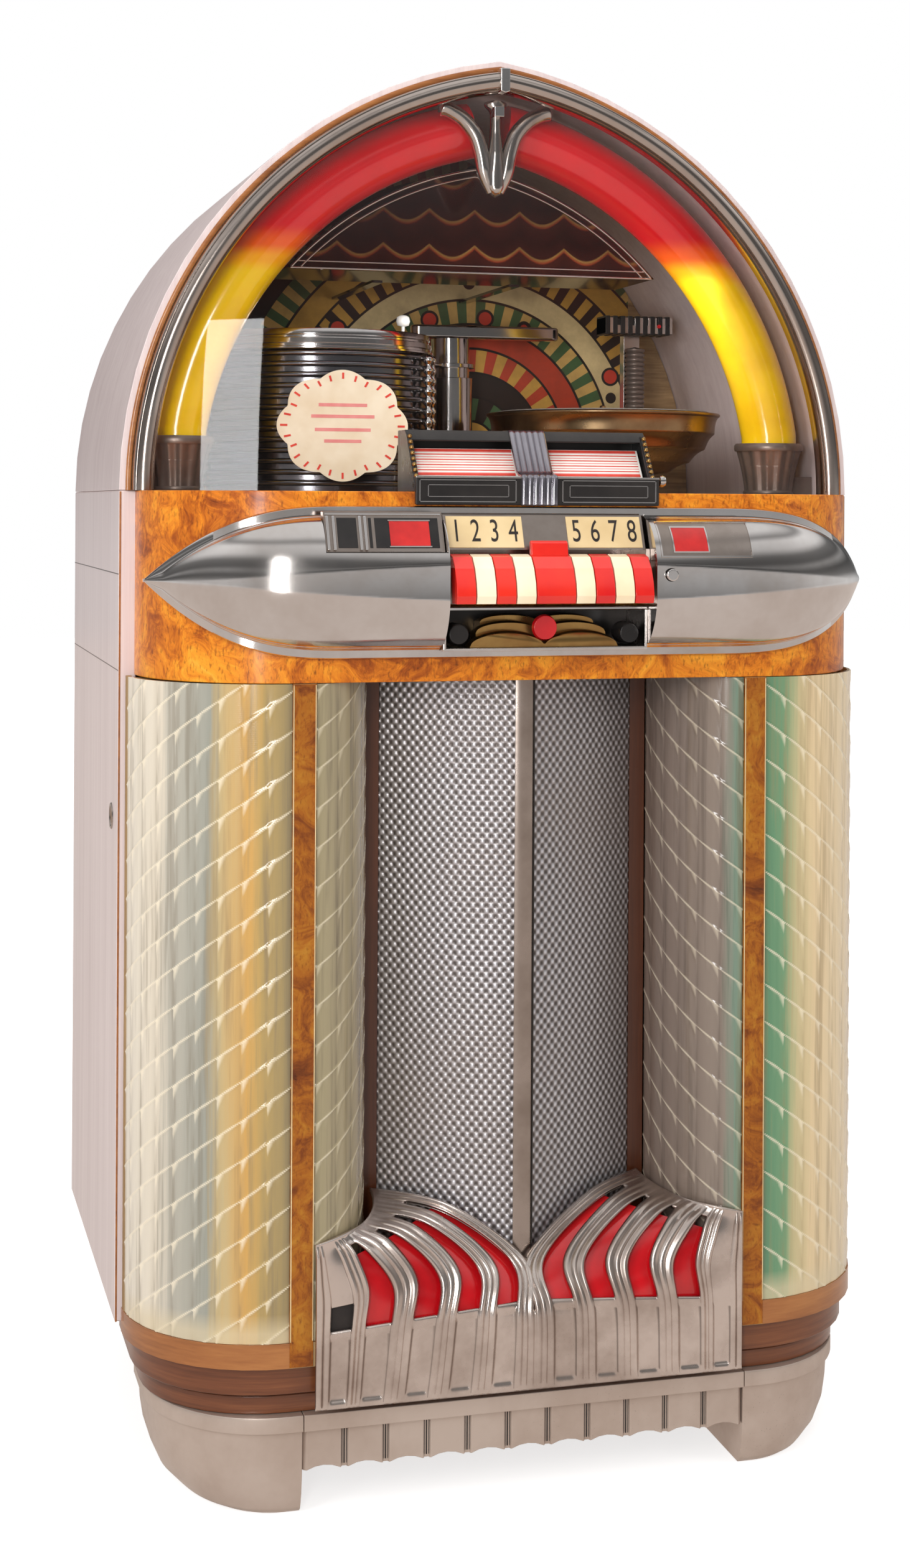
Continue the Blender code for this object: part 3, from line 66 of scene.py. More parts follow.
# The cabinet's main planes, read from the frame
wallLow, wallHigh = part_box("side_wall_right")
doorLow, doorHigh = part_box("door_frame")
seam = wallHigh.z
halfWidth = wallHigh.x
wallFront = wallLow.y
wallRear = wallHigh.y
frontPlane = doorLow.y
doorBack = doorHigh.y
panelLow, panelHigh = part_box("outer_panel_right")

cabinet = dict(postOuter=0.2421, postInner=0.2194, doorHalf=0.3863, innerPostOuter=0.1501,
               innerPostInner=0.1339, innerPostBack=0.1051, seatGap=0.0003)
cabinet["archRise"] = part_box("lid_shell")[1].z - seam
cabinet["archOffset"] = (cabinet["archRise"] ** 2 - halfWidth ** 2) / (2 * halfWidth)
cabinet["archRadius"] = halfWidth + cabinet["archOffset"]

camera = dict(place=(-0.6523, -2.3883, 0.9730), yaw=0.2618, roll=0.0056, focalPixels=3634.0,
              centrePixel=(731.0, 811.2), frame=(1462, 2520), sensor=36.0)
mergeGap = 0.000002


# Shapes: each is (points, faces), with the points as one array

def gridFaces(rows, columns, closeRows=False, closeColumns=False):
    # Quad (r, c) joins points r*columns+c, its right neighbour and the two below them
    r = np.arange(rows if closeRows else rows - 1)[:, None]
    c = np.arange(columns if closeColumns else columns - 1)[None, :]
    below = (r + 1) % rows
    beside = (c + 1) % columns
    return np.stack([r * columns + c, r * columns + beside, below * columns + beside, below * columns + c],
                    -1).reshape(-1, 4)


def skin(points, closeRows=False, closeColumns=False, caps=False, keep=None):
    # A grid of points as one surface; caps close its first and last row; keep is a mask of quads
    rows, columns = points.shape[:2]
    faces = gridFaces(rows, columns, closeRows, closeColumns)
    if keep is not None:
        faces = faces[keep.reshape(-1)]
    faces = faces.tolist()
    if caps:
        faces.append(list(range(columns))[::-1])
        faces.append(list(range((rows - 1) * columns, rows * columns)))
    return points.reshape(-1, 3), faces


def joined(*shapes):
    # Several shapes as one, each face's numbers moved past the points before it
    points, faces, start = [], [], 0
    for some, sides in shapes:
        points.append(some)
        faces += [[index + start for index in side] for side in sides]
        start += len(some)
    return np.concatenate(points), faces


def slab(front, back):
    # Two grids of the same size as the two faces of a closed sheet
    return skin(np.concatenate([front, back[:, ::-1]], axis=1), closeColumns=True, caps=True)


def prism(outline, low, high, axis="z"):
    # An outline of pairs carried from low to high along one axis
    pairs = np.asarray(outline, float)
    order = {"x": (2, 0, 1), "y": (0, 2, 1), "z": (0, 1, 2)}[axis]
    rows = [np.column_stack([pairs, np.full(len(pairs), height)])[:, order] for height in (low, high)]
    return skin(np.stack(rows), closeColumns=True, caps=True)


def block(low, high):
    # A straight block between two corners, for strips and pins whose edges are bevelled later
    return prism([(low[0], low[1]), (high[0], low[1]), (high[0], high[1]), (low[0], high[1])], low[2],
                 high[2])


def lathe(profile, centre, sides=48, axis="z", flutes=0, fluteDepth=0.0):
    # Each (radius, height) pair goes round the axis; flutes scale the radius by 1 - depth*(1+cos(n*angle))/2
    pairs = np.asarray(profile, float)
    turn = np.arange(sides) * 2 * pi / sides
    scale = 1 - fluteDepth * (1 + np.cos(flutes * turn)) / 2
    across = pairs[:, :1] * np.cos(turn) * scale
    along = pairs[:, :1] * np.sin(turn) * scale
    height = np.repeat(pairs[:, 1:], sides, axis=1)
    order = {"x": (height, across, along), "y": (across, height, along), "z": (across, along, height)}[axis]
    return skin(np.stack(order, -1) + np.asarray(centre), closeRows=True, closeColumns=True)


def tube(path, radius, sides=12):
    # A round section carried along a path; its frame is the path's direction crossed with a fixed axis
    line = np.asarray(path, float)
    along = np.gradient(line, axis=0)
    along /= np.linalg.norm(along, axis=1, keepdims=True)
    spread = np.ptp(line, axis=0)
    fixed = np.eye(3)[int(np.argmin(spread))]
    across = np.cross(along, fixed)
    across /= np.linalg.norm(across, axis=1, keepdims=True)
    other = np.cross(along, across)
    turn = np.arange(sides) * 2 * pi / sides
    size = np.broadcast_to(np.asarray(radius, float), len(line))[:, None, None]
    rings = line[:, None] + size * (across[:, None] * np.cos(turn)[:, None]
                                    + other[:, None] * np.sin(turn)[:, None])
    return skin(rings, closeColumns=True, caps=True)


def splineThrough(points, steps):
    # Catmull-Rom curve through chosen points, steps samples for each span
    p = np.asarray(points, float)
    p = np.concatenate([2 * p[:1] - p[1:2], p, 2 * p[-1:] - p[-2:-1]])
    t = np.linspace(0, 1, steps, endpoint=False)[:, None, None]
    a, b, c, d = p[:-3], p[1:-2], p[2:-1], p[3:]
    curve = 0.5 * (2 * b + (c - a) * t + (2 * a - 5 * b + 4 * c - d) * t ** 2
                   + (3 * b - a - 3 * c + d) * t ** 3)
    return np.concatenate([curve.transpose(1, 0, 2).reshape(-1, p.shape[1]), p[-2:-1]])


def archLine(inset, steps=64, low=0.0, endX=0.0):
    # Right half of the pointed arch: x = (R-i)cos a - offset, z = seam + (R-i)sin a
    radius = cabinet["archRadius"] - inset
    turn = np.linspace(np.arcsin(low / radius), acos((cabinet["archOffset"] + endX) / radius), steps)
    return np.column_stack([radius * np.cos(turn) - cabinet["archOffset"], seam + radius * np.sin(turn)])


def archSweep(profile, steps=64):
    # A closed profile of (inset, y) pairs carried round the whole arch
    lines = []
    for inset, y in profile:
        right = archLine(inset, steps)
        line = np.concatenate([right, right[-2::-1] * (-1, 1)])
        lines.append(np.column_stack([line[:, 0], np.full(len(line), y), line[:, 1] + cabinet["seatGap"]]))
    rings = np.stack(lines, axis=1)
    return skin(rings, closeColumns=True, caps=True)


def refined(node):
    # A CAD node's mesh with its triangles merged into whole faces
    made = bmesh.new()
    made.from_mesh(nodes[node].data)
    bmesh.ops.remove_doubles(made, verts=made.verts, dist=mergeGap)
    bmesh.ops.dissolve_limit(made, angle_limit=radians(0.6), verts=made.verts, edges=made.edges)
    made.verts.index_update()
    points = np.array([vertex.co[:] for vertex in made.verts])
    faces = [[vertex.index for vertex in face.verts] for face in made.faces]
    made.free()
    return points, faces


def meshOf(name, shape, recalculate=True):
    # Puts a shape into a mesh, merges its doubles and turns its faces outwards
    mesh = bpy.data.meshes.new(name)
    mesh.from_pydata(shape[0].tolist(), [], shape[1])
    if recalculate:
        made = bmesh.new()
        made.from_mesh(mesh)
        bmesh.ops.remove_doubles(made, verts=made.verts, dist=mergeGap)
        bmesh.ops.dissolve_degenerate(made, edges=made.edges, dist=0.000001)
        bmesh.ops.recalc_face_normals(made, faces=made.faces)
        made.to_mesh(mesh)
        made.free()
    return mesh


def carved(shape, *cutters):
    # A shape with other shapes cut out of it by Boolean modifiers
    scene = bpy.context.scene.collection
    body = bpy.data.objects.new("carvedBody", meshOf("carvedBody", shape))
    scene.objects.link(body)
    tools = []
    for cutter in cutters:
        tool = bpy.data.objects.new("carvingTool", meshOf("carvingTool", cutter))
        scene.objects.link(tool)
        step = body.modifiers.new("cut", "BOOLEAN")
        step.operation = "DIFFERENCE"
        step.object = tool
        tools.append(tool)
    mesh = bpy.data.meshes.new_from_object(body.evaluated_get(bpy.context.evaluated_depsgraph_get()))
    points = np.empty(len(mesh.vertices) * 3)
    mesh.vertices.foreach_get("co", points)
    faces = [list(face.vertices) for face in mesh.polygons]
    for thing in tools + [body]:
        bpy.data.objects.remove(thing)
    return points.reshape(-1, 3), faces


def addPiece(name, shape, look, body, stands=(), bevel=0.0, bevelSteps=2, sharp=32, thick=0.0,
             recalculate=True, relief=None):
    # Makes the finished object; relief is one number for each point, kept as an attribute for the material
    mesh = meshOf(name, shape, recalculate)
    thing = bpy.data.objects.new(name, mesh)
    bpy.context.scene.collection.objects.link(thing)
    mesh.materials.append(look)
    mesh.shade_smooth()
    if relief is not None:
        layer = mesh.attributes.new("relief", "FLOAT", "POINT")
        layer.data.foreach_set("value", np.asarray(relief, np.float32).reshape(-1))
    if thick:
        wall = thing.modifiers.new("wall", "SOLIDIFY")
        wall.thickness = abs(thick)
        wall.offset = -1 if thick > 0 else 0
    if bevel:
        edge = thing.modifiers.new("edge", "BEVEL")
        edge.width = bevel
        edge.segments = bevelSteps
        edge.limit_method = "ANGLE"
        edge.angle_limit = radians(sharp)
        edge.harden_normals = True
    elif sharp:
        mesh.set_sharp_from_angle(angle=radians(sharp))
    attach(thing, body)
    if stands:
        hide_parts(*stands)
    return thing


# Materials: nodes are put in by name, and a socket given as a value is linked

def rgb(red, green, blue):
    # A display colour of 0 to 255 as linear light
    share = np.array([red, green, blue]) / 255
    linear = np.where(share <= 0.04045, share / 12.92, ((share + 0.055) / 1.055) ** 2.4)
    return (*linear.tolist(), 1.0)


def put(tree, kind, inputs=None, **settings):
    # A node with its settings, and its sockets filled or linked
    made = tree.nodes.new("ShaderNode" + kind)
    for key, value in settings.items():
        setattr(made, key, value)
    for key, value in (inputs or {}).items():
        socket = made.inputs[key]
        if isinstance(value, bpy.types.NodeSocket):
            tree.links.new(value, socket)
        else:
            socket.default_value = value
    return made


def blendColours(tree, factor, one, two, way="MIX"):
    made = put(tree, "Mix", {0: factor, 6: one, 7: two}, data_type="RGBA", blend_type=way)
    return made.outputs[2]


def calculate(tree, way, one, two=0.0):
    # One step of arithmetic, by its name in Blender
    return put(tree, "Math", {0: one, 1: two}, operation=way).outputs[0]


def times(tree, one, two):
    return calculate(tree, "MULTIPLY", one, two)


def plus(tree, one, two):
    return calculate(tree, "ADD", one, two)


def remap(tree, value, low, high, toLow=0.0, toHigh=1.0):
    # A value carried from one span to another, and held at its ends
    made = put(tree, "MapRange", {"Value": value, "From Min": low, "From Max": high, "To Min": toLow,
                                  "To Max": toHigh})
    return made.outputs["Result"]


def split(tree, vector):
    return put(tree, "SeparateXYZ", {"Vector": vector}).outputs


def reliefOf(tree):
    # The number that addPiece keeps at each point
    return put(tree, "Attribute", attribute_name="relief").outputs["Fac"]


def ramp(tree, factor, stops, way="LINEAR"):
    # Colours at shares from 0 to 1
    made = put(tree, "ValToRGB", {"Fac": factor})
    made.color_ramp.interpolation = way
    keys = made.color_ramp.elements
    while len(keys) < len(stops):
        keys.new(0.5)
    for key, (place, colour) in zip(keys, stops):
        key.position = place
        key.color = colour if len(np.shape(colour)) else (colour, colour, colour, 1.0)
    return made.outputs["Color"]


def noise(tree, vector, scale, detail=3.0, rough=0.55, distortion=0.0):
    # Values round 0.5
    made = put(tree, "TexNoise", {"Vector": vector, "Scale": scale, "Detail": detail, "Roughness": rough,
                                  "Distortion": distortion})
    return made.outputs["Fac"]


def stretch(tree, vector, scale, turn=(0.0, 0.0, 0.0), move=(0.0, 0.0, 0.0)):
    made = put(tree, "Mapping", {"Vector": vector, "Scale": scale, "Rotation": turn, "Location": move})
    return made.outputs["Vector"]


def startGroup(name, inputs, outputs):
    # A shader group with named sockets; returns its tree, its input node and its output node
    tree = bpy.data.node_groups.new(name, "ShaderNodeTree")
    for key, kind, value in inputs:
        socket = tree.interface.new_socket(name=key, in_out="INPUT", socket_type="NodeSocket" + kind)
        if value is not None:
            socket.default_value = value
    for key, kind in outputs:
        tree.interface.new_socket(name=key, in_out="OUTPUT", socket_type="NodeSocket" + kind)
    return tree, tree.nodes.new("NodeGroupInput").outputs, tree.nodes.new("NodeGroupOutput").inputs


def makeGrainGroup():
    # Long streaks of two widths and their height, for veneers
    tree, given, wanted = startGroup("woodGrain",
                                     [("Vector", "Vector", None), ("Stretch", "Vector", (60, 60, 1.5)),
                                      ("Fineness", "Float", 1.0)],
                                     [("Streak", "Float"), ("Height", "Float")])
    streaks = put(tree, "VectorMath", {0: given["Vector"], 1: given["Stretch"]},
                  operation="MULTIPLY").outputs[0]
    wide = noise(tree, streaks, given["Fineness"], 4.0, 0.6, 0.4)
    fine = noise(tree, streaks, times(tree, given["Fineness"], 5.0), 3.0, 0.7)
    both = plus(tree, times(tree, wide, 0.65), times(tree, fine, 0.35))
    tree.links.new(both, wanted["Streak"])
    tree.links.new(fine, wanted["Height"])
    return tree


def makeWearGroup():
    # Cloudy patches, thin scratches and small pits
    tree, given, wanted = startGroup("surfaceWear", [("Vector", "Vector", None), ("Scale", "Float", 8.0)],
                                     [("Patches", "Float"), ("Scratches", "Float"), ("Pits", "Float")])
    patches = noise(tree, given["Vector"], given["Scale"], 5.0, 0.65)
    thin = put(tree, "VectorMath", {0: given["Vector"], 1: (9.0, 9.0, 140.0)},
               operation="MULTIPLY").outputs[0]
    lines = noise(tree, thin, given["Scale"], 2.0, 0.8, 1.5)
    scratches = ramp(tree, lines, [(0.0, 0.0), (0.66, 0.0), (0.7, 1.0)])
    cells = put(tree, "TexVoronoi", {"Vector": given["Vector"],
                                     "Scale": times(tree, given["Scale"], 42.0)}).outputs["Distance"]
    pits = ramp(tree, cells, [(0.0, 0.0), (0.16, 1.0)])
    tree.links.new(patches, wanted["Patches"])
    tree.links.new(scratches, wanted["Scratches"])
    tree.links.new(pits, wanted["Pits"])
    return tree


def makeDustGroup():
    # Dust on faces that look up, broken by noise
    tree, given, wanted = startGroup("settledDust", [("Vector", "Vector", None), ("Amount", "Float", 0.3)],
                                     [("Mask", "Float")])
    normal = put(tree, "NewGeometry").outputs["Normal"]
    up = split(tree, normal)["Z"]
    facing = ramp(tree, up, [(0.3, 0.0), (1.0, 1.0)], "EASE")
    speckle = noise(tree, given["Vector"], 60.0, 4.0, 0.7)
    mask = times(tree, times(tree, facing, speckle), given["Amount"])
    tree.links.new(mask, wanted["Mask"])
    return tree


grainGroup = makeGrainGroup()
wearGroup = makeWearGroup()
dustGroup = makeDustGroup()
dustColour = rgb(186, 176, 164)


def startMaterial(name, roughness=0.5, metallic=0.0, **inputs):
    # A Principled material; gives back the material, its tree, its shader and Object coordinates
    made = bpy.data.materials.new(name)
    made.use_nodes = True
    tree = made.node_tree
    shader = tree.nodes["Principled BSDF"]
    shader.inputs["Roughness"].default_value = roughness
    shader.inputs["Metallic"].default_value = metallic
    for key, value in inputs.items():
        shader.inputs[key.replace("_", " ")].default_value = value
    return made, tree, shader, put(tree, "TexCoord").outputs["Object"]


def finishMaterial(tree, shader, colour, vector, dust=0.15, height=None, bump=0.1, distance=0.001,
                   roughness=None):
    # Dust over the colour, then colour, roughness and bump into the shader
    layer = put(tree, "Group", node_tree=dustGroup)
    tree.links.new(vector, layer.inputs["Vector"])
    layer.inputs["Amount"].default_value = dust
    tree.links.new(blendColours(tree, layer.outputs["Mask"], colour, dustColour),
                   shader.inputs["Base Color"])
    if roughness is not None:
        tree.links.new(roughness, shader.inputs["Roughness"])
    if height is not None:
        raised = put(tree, "Bump", {"Height": height, "Strength": bump, "Distance": distance})
        tree.links.new(raised.outputs["Normal"], shader.inputs["Normal"])


def makeWood(name, stops, grain, fineness=1.0, roughness=0.34, coat=0.25, bump=0.05):
    # Streaked veneer under thin lacquer
    made, tree, shader, vector = startMaterial(name, roughness, Coat_Weight=coat, Coat_Roughness=0.15)
    streak = put(tree, "Group", node_tree=grainGroup)
    tree.links.new(vector, streak.inputs["Vector"])
    streak.inputs["Stretch"].default_value = grain
    streak.inputs["Fineness"].default_value = fineness
    cloud = noise(tree, vector, 3.0, 3.0)
    mixed = plus(tree, times(tree, streak.outputs["Streak"], 0.75),
                      times(tree, cloud, 0.25))
    finishMaterial(tree, shader, ramp(tree, mixed, stops), vector, 0.1, streak.outputs["Height"], bump)
    return made


def makeBurl(name, shade=1.0):
    # Swirled amber figure with dark eyes and fine flecks
    made, tree, shader, vector = startMaterial(name, 0.32, Coat_Weight=0.16, Coat_Roughness=0.1)
    shader.inputs["Specular IOR Level"].default_value = 0.32
    swirl = put(tree, "TexNoise", {"Vector": vector, "Scale": 11.0, "Detail": 2.0})
    bent = put(tree, "VectorMath", {0: swirl.outputs["Color"], 1: (0.09, 0.09, 0.09)},
               operation="MULTIPLY").outputs[0]
    moved = put(tree, "VectorMath", {0: vector, 1: bent}, operation="ADD").outputs[0]
    figure = noise(tree, moved, 30.0, 7.0, 0.7, 1.2)
    cloud = noise(tree, vector, 5.0, 2.0)
    both = plus(tree, times(tree, figure, 0.66), times(tree, cloud, 0.34))
    stops = [(0.32, (96, 38, 6)), (0.42, (168, 82, 14)), (0.5, (216, 122, 24)), (0.6, (240, 156, 40)),
             (0.74, (250, 186, 78))]
    colour = ramp(tree, both, [(place, rgb(*(np.array(tone) * shade))) for place, tone in stops])
    eyes = put(tree, "TexVoronoi", {"Vector": moved, "Scale": 60.0}).outputs["Distance"]
    colour = blendColours(tree, ramp(tree, eyes, [(0.0, 0.8), (0.12, 0.0)]), colour, rgb(74, 26, 4))
    flecks = noise(tree, stretch(tree, vector, (1.0, 1.0, 0.35)), 420.0, 2.0)
    colour = blendColours(tree, ramp(tree, flecks, [(0.54, 0.0), (0.72, 0.6)]), colour, rgb(104, 44, 8))
    finishMaterial(tree, shader, colour, vector, 0.04, figure, 0.03)
    return made


def makeMetal(name, base, roughness, low, high, wearScale=7.0, pits=0.0, dust=0.08, metallic=1.0, tint=None,
              groove=None):
    # Polished or cast metal: patches change roughness and tone; pits, or scratches, go into the bump; a
    # groove colour, when given, paints shade where the relief is low
    made, tree, shader, vector = startMaterial(name, roughness, metallic)
    wear = put(tree, "Group", node_tree=wearGroup)
    tree.links.new(vector, wear.inputs["Vector"])
    wear.inputs["Scale"].default_value = wearScale
    colour = blendColours(tree, ramp(tree, wear.outputs["Patches"], [(0.4, 0.0), (0.7, 1.0)]), base,
                          tint or base)
    rough = remap(tree, wear.outputs["Patches"], 0.3, 0.75, low, high)
    if pits:
        height = wear.outputs["Pits"]
        sparse = ramp(tree, noise(tree, vector, 9.0, 3.0), [(0.5, 0.0), (0.62, 0.7)])
        dark = times(tree, calculate(tree, "SUBTRACT", 1.0, height), sparse)
        colour = blendColours(tree, dark, colour, rgb(84, 72, 64))
    else:
        height = wear.outputs["Scratches"]
    # Painted shade: the groove colour darkens the metal where the relief is low
    if groove:
        relief = reliefOf(tree)
        colour = blendColours(tree, ramp(tree, relief, [(0.0, 0.85), (0.45, 0.0)]), colour, groove)
    finishMaterial(tree, shader, colour, vector, dust, height, pits or 0.02, 0.0004, rough)
    return made


def makePlastic(name, base, other, roughness=0.2, coat=0.3, scale=14.0, dust=0.05, bump=0.015, **inputs):
    # Moulded plastic with a cloudy tone and faint ripples
    made, tree, shader, vector = startMaterial(name, roughness, Coat_Weight=coat, Coat_Roughness=0.06,
                                               **inputs)
    cloud = noise(tree, vector, scale, 4.0)
    colour = blendColours(tree, ramp(tree, cloud, [(0.35, 0.0), (0.7, 1.0)]), base, other)
    finishMaterial(tree, shader, colour, vector, dust, noise(tree, vector, scale * 12, 2.0), bump)
    return made


def makeTubePlastic():
    # Red above, yellow below, with a soft orange change and clouds of darker red
    made, tree, shader, vector = startMaterial("tubePlastic", 0.16, Coat_Weight=0.6, Coat_Roughness=0.05,
                                               Subsurface_Weight=0.08)
    shader.inputs["Subsurface Radius"].default_value = (0.02, 0.006, 0.002)
    change = dict(low=1.215, high=1.268)
    height = plus(tree, split(tree, vector)["Z"], times(tree, noise(tree, vector, 9.0), 0.01))
    share = remap(tree, height, change["low"], change["high"])
    colour = ramp(tree, share, [(0.0, rgb(247, 200, 22)), (0.3, rgb(250, 168, 18)),
                                                  (0.6, rgb(238, 92, 22)), (1.0, rgb(214, 22, 30))], "EASE")
    cloud = noise(tree, vector, 22.0, 5.0)
    colour = blendColours(tree, ramp(tree, cloud, [(0.45, 0.0), (0.8, 0.22)]), colour, rgb(150, 30, 24))
    finishMaterial(tree, shader, colour, vector, 0.04, noise(tree, vector, 120.0), 0.02)
    return made


def makeQuilt(name, bands, valley, roughness=0.2):
    # Moulded translucent panel: blurred colour bands across X, with painted shade in the valleys and painted
    # highlights on the crests, from the relief
    made, tree, shader, vector = startMaterial(name, roughness, Coat_Weight=0.5, Coat_Roughness=0.05)
    parts = split(tree, vector)
    places = [place for place, tone in bands]
    streaks = noise(tree, stretch(tree, vector, (90, 90, 3)), 1.0, 4.0, 0.65)
    shift = times(tree, calculate(tree, "SUBTRACT", streaks, 0.5), 0.03)
    share = remap(tree, plus(tree, parts["X"], shift), places[0], places[-1])
    span = places[-1] - places[0]
    colour = ramp(tree, share, [((place - places[0]) / span, rgb(*tone)) for place, tone in bands])
    colour = blendColours(tree, ramp(tree, streaks, [(0.52, 0.0), (0.68, 0.45)]), colour, valley)
    relief = reliefOf(tree)
    # Painted shade where the relief is low
    colour = blendColours(tree, ramp(tree, relief, [(0.2, 0.6), (0.34, 0.15), (0.5, 0.0)]), colour, valley)
    # Painted highlight where the relief is high
    colour = blendColours(tree, ramp(tree, relief, [(0.56, 0.0), (0.9, 0.7)]), colour, rgb(248, 234, 206))
    pale = remap(tree, parts["Z"], 0.182, 0.2, 0.6, 0.0)
    colour = blendColours(tree, pale, colour, rgb(214, 196, 160))
    weave = put(tree, "TexWave", {"Vector": vector, "Scale": 160.0}, bands_direction="Z").outputs["Fac"]
    finishMaterial(tree, shader, colour, vector, 0.0, weave, 0.03, 0.0004)
    return made


def makeGrille():
    # Silver threads: painted highlights on their tops and painted shade in the grey gaps, by the relief,
    # with a fine thread in the bump
    made, tree, shader, vector = startMaterial("grilleWeave", 0.34, 0.7)
    relief = reliefOf(tree)
    # Painted shade at low relief, painted highlight at high relief
    colour = ramp(tree, relief,
                  [(0.0, rgb(84, 78, 76)), (0.25, rgb(128, 122, 120)), (0.5, rgb(182, 178, 180)),
                   (0.85, rgb(228, 228, 234))])
    cloud = noise(tree, vector, 5.0, 4.0)
    colour = blendColours(tree, ramp(tree, cloud, [(0.45, 0.0), (0.75, 0.3)]), colour, rgb(156, 140, 128))
    thread = put(tree, "TexWave", {"Vector": vector, "Scale": 330.0, "Distortion": 1.0},
                 bands_direction="Z")
    finishMaterial(tree, shader, colour, vector, 0.03, thread.outputs["Fac"], 0.2, 0.0003)
    return made


def makeClear(name, tint, strength):
    # Clear sheet: only the mirror image on its outer face shows, and Fresnel says how much of it
    made, tree, shader, vector = startMaterial(name, 0.02, 1.0)
    film = noise(tree, vector, 7.0, 5.0, 0.7)
    mirror = times(tree, put(tree, "Fresnel", {"IOR": 1.42}).outputs[0], strength)
    outer = calculate(tree, "SUBTRACT", 1.0, put(tree, "NewGeometry").outputs["Backfacing"])
    share = plus(tree, calculate(tree, "MINIMUM", mirror, 0.5), times(tree, film, 0.006))
    tree.links.new(times(tree, share, outer), shader.inputs["Alpha"])
    colour = blendColours(tree, ramp(tree, film, [(0.4, 0.0), (0.8, 1.0)]), tint, rgb(226, 222, 214))
    tree.links.new(colour, shader.inputs["Base Color"])
    return made


def makeHood():
    # Dark tinted hood: red-brown scallops painted as the printed board's reflection, under gloss, denser
    # where it turns away
    made, tree, shader, vector = startMaterial("smokyHood", 0.12, Coat_Weight=0.3, Coat_Roughness=0.05)
    parts = split(tree, vector)
    wave = calculate(tree, "ABSOLUTE", calculate(tree, "SINE", times(tree, parts["X"], 62.0)))
    level = calculate(tree, "FRACT", plus(tree, times(tree, parts["Z"], 26.0), times(tree, wave, 0.35)))
    # Painted reflection: scallops of the printed board's colours
    reflectedScallops = ramp(tree, level, [(0.0, rgb(36, 14, 12)), (0.46, rgb(58, 24, 18)), (0.5, rgb(128, 52, 30)),
                               (0.58, rgb(140, 104, 56)), (0.62, rgb(48, 20, 16)), (1.0, rgb(34, 14, 12))])
    cloud = noise(tree, vector, 9.0, 4.0)
    colour = blendColours(tree, ramp(tree, cloud, [(0.35, 0.25), (0.7, 0.9)]), reflectedScallops, rgb(44, 20, 17))
    tree.links.new(colour, shader.inputs["Base Color"])
    facing = put(tree, "LayerWeight", {"Blend": 0.3}).outputs["Facing"]
    dense = remap(tree, facing, 0.0, 1.0, 0.8, 0.96)
    tree.links.new(dense, shader.inputs["Alpha"])
    return made


def makeBackdropPaint():
    # Printed board: rings round one point, every other ring cut into rungs,
    # with small outlined dots over them
    made, tree, shader, vector = startMaterial("backdropPaint", 0.45)
    rings = dict(across=-0.09, height=-1.045, width=0.03, rungs=9.0, margin=0.295, darkTop=1.22)
    moved = split(tree, stretch(tree, vector, (1, 1, 1), move=(rings["across"], 0, rings["height"])))
    x, z = moved["X"], moved["Z"]
    angle = calculate(tree, "ARCTAN2", z, x)
    far = calculate(tree, "SQRT",
                    plus(tree, calculate(tree, "POWER", x, 2.0), calculate(tree, "POWER", z, 2.0)))
    step = calculate(tree, "DIVIDE", far, rings["width"])
    index, inside = calculate(tree, "FLOOR", step), calculate(tree, "FRACT", step)
    turns = times(tree, times(tree, angle, index), rings["rungs"] / (2 * pi))
    rung = calculate(tree, "GREATER_THAN", calculate(tree, "FRACT", turns), 0.5)
    odd = calculate(tree, "GREATER_THAN", calculate(tree, "FRACT", times(tree, index, 0.5)), 0.25)
    stepped = times(tree, times(tree, rung, odd), 0.44)
    key = calculate(tree, "FRACT", plus(tree, times(tree, index, 0.381), stepped))
    tones = [(0.0, (206, 156, 66)), (0.16, (226, 200, 144)), (0.32, (70, 100, 58)), (0.48, (188, 62, 32)),
             (0.64, (38, 24, 18)), (0.84, (214, 172, 96))]
    picked = ramp(tree, key, [(place, rgb(*tone)) for place, tone in tones], "CONSTANT")
    border = calculate(tree, "LESS_THAN", inside, 0.1)
    colour = blendColours(tree, border, picked, rgb(26, 16, 12))
    dots = put(tree, "TexVoronoi",
               {"Vector": stretch(tree, vector, (1, 0, 1)), "Scale": 17.0}).outputs["Distance"]
    colour = blendColours(tree, calculate(tree, "LESS_THAN", dots, 0.2), colour, rgb(30, 18, 14))
    colour = blendColours(tree, calculate(tree, "LESS_THAN", dots, 0.15), colour, rgb(208, 60, 36))
    spot = split(tree, vector)
    # Darker red-brown above this height
    darkTop = remap(tree, spot["Z"], rings["darkTop"] - 0.03, rings["darkTop"] + 0.06)
    colour = blendColours(tree, times(tree, darkTop, 0.7), colour, rgb(84, 30, 20))
    brushed = noise(tree, stretch(tree, vector, (2, 30, 30)), 6.0, 4.0)
    tan = ramp(tree, brushed, [(0.3, rgb(128, 98, 66)), (0.7, rgb(186, 152, 108))])
    colour = blendColours(tree, calculate(tree, "GREATER_THAN", spot["X"], rings["margin"]), colour, tan)
    grime = noise(tree, vector, 18.0, 6.0, 0.7)
    colour = blendColours(tree, ramp(tree, grime, [(0.4, 0.0), (0.75, 0.45)]), colour, rgb(64, 42, 28))
    finishMaterial(tree, shader, colour, vector, 0.0, grime, 0.05)
    return made


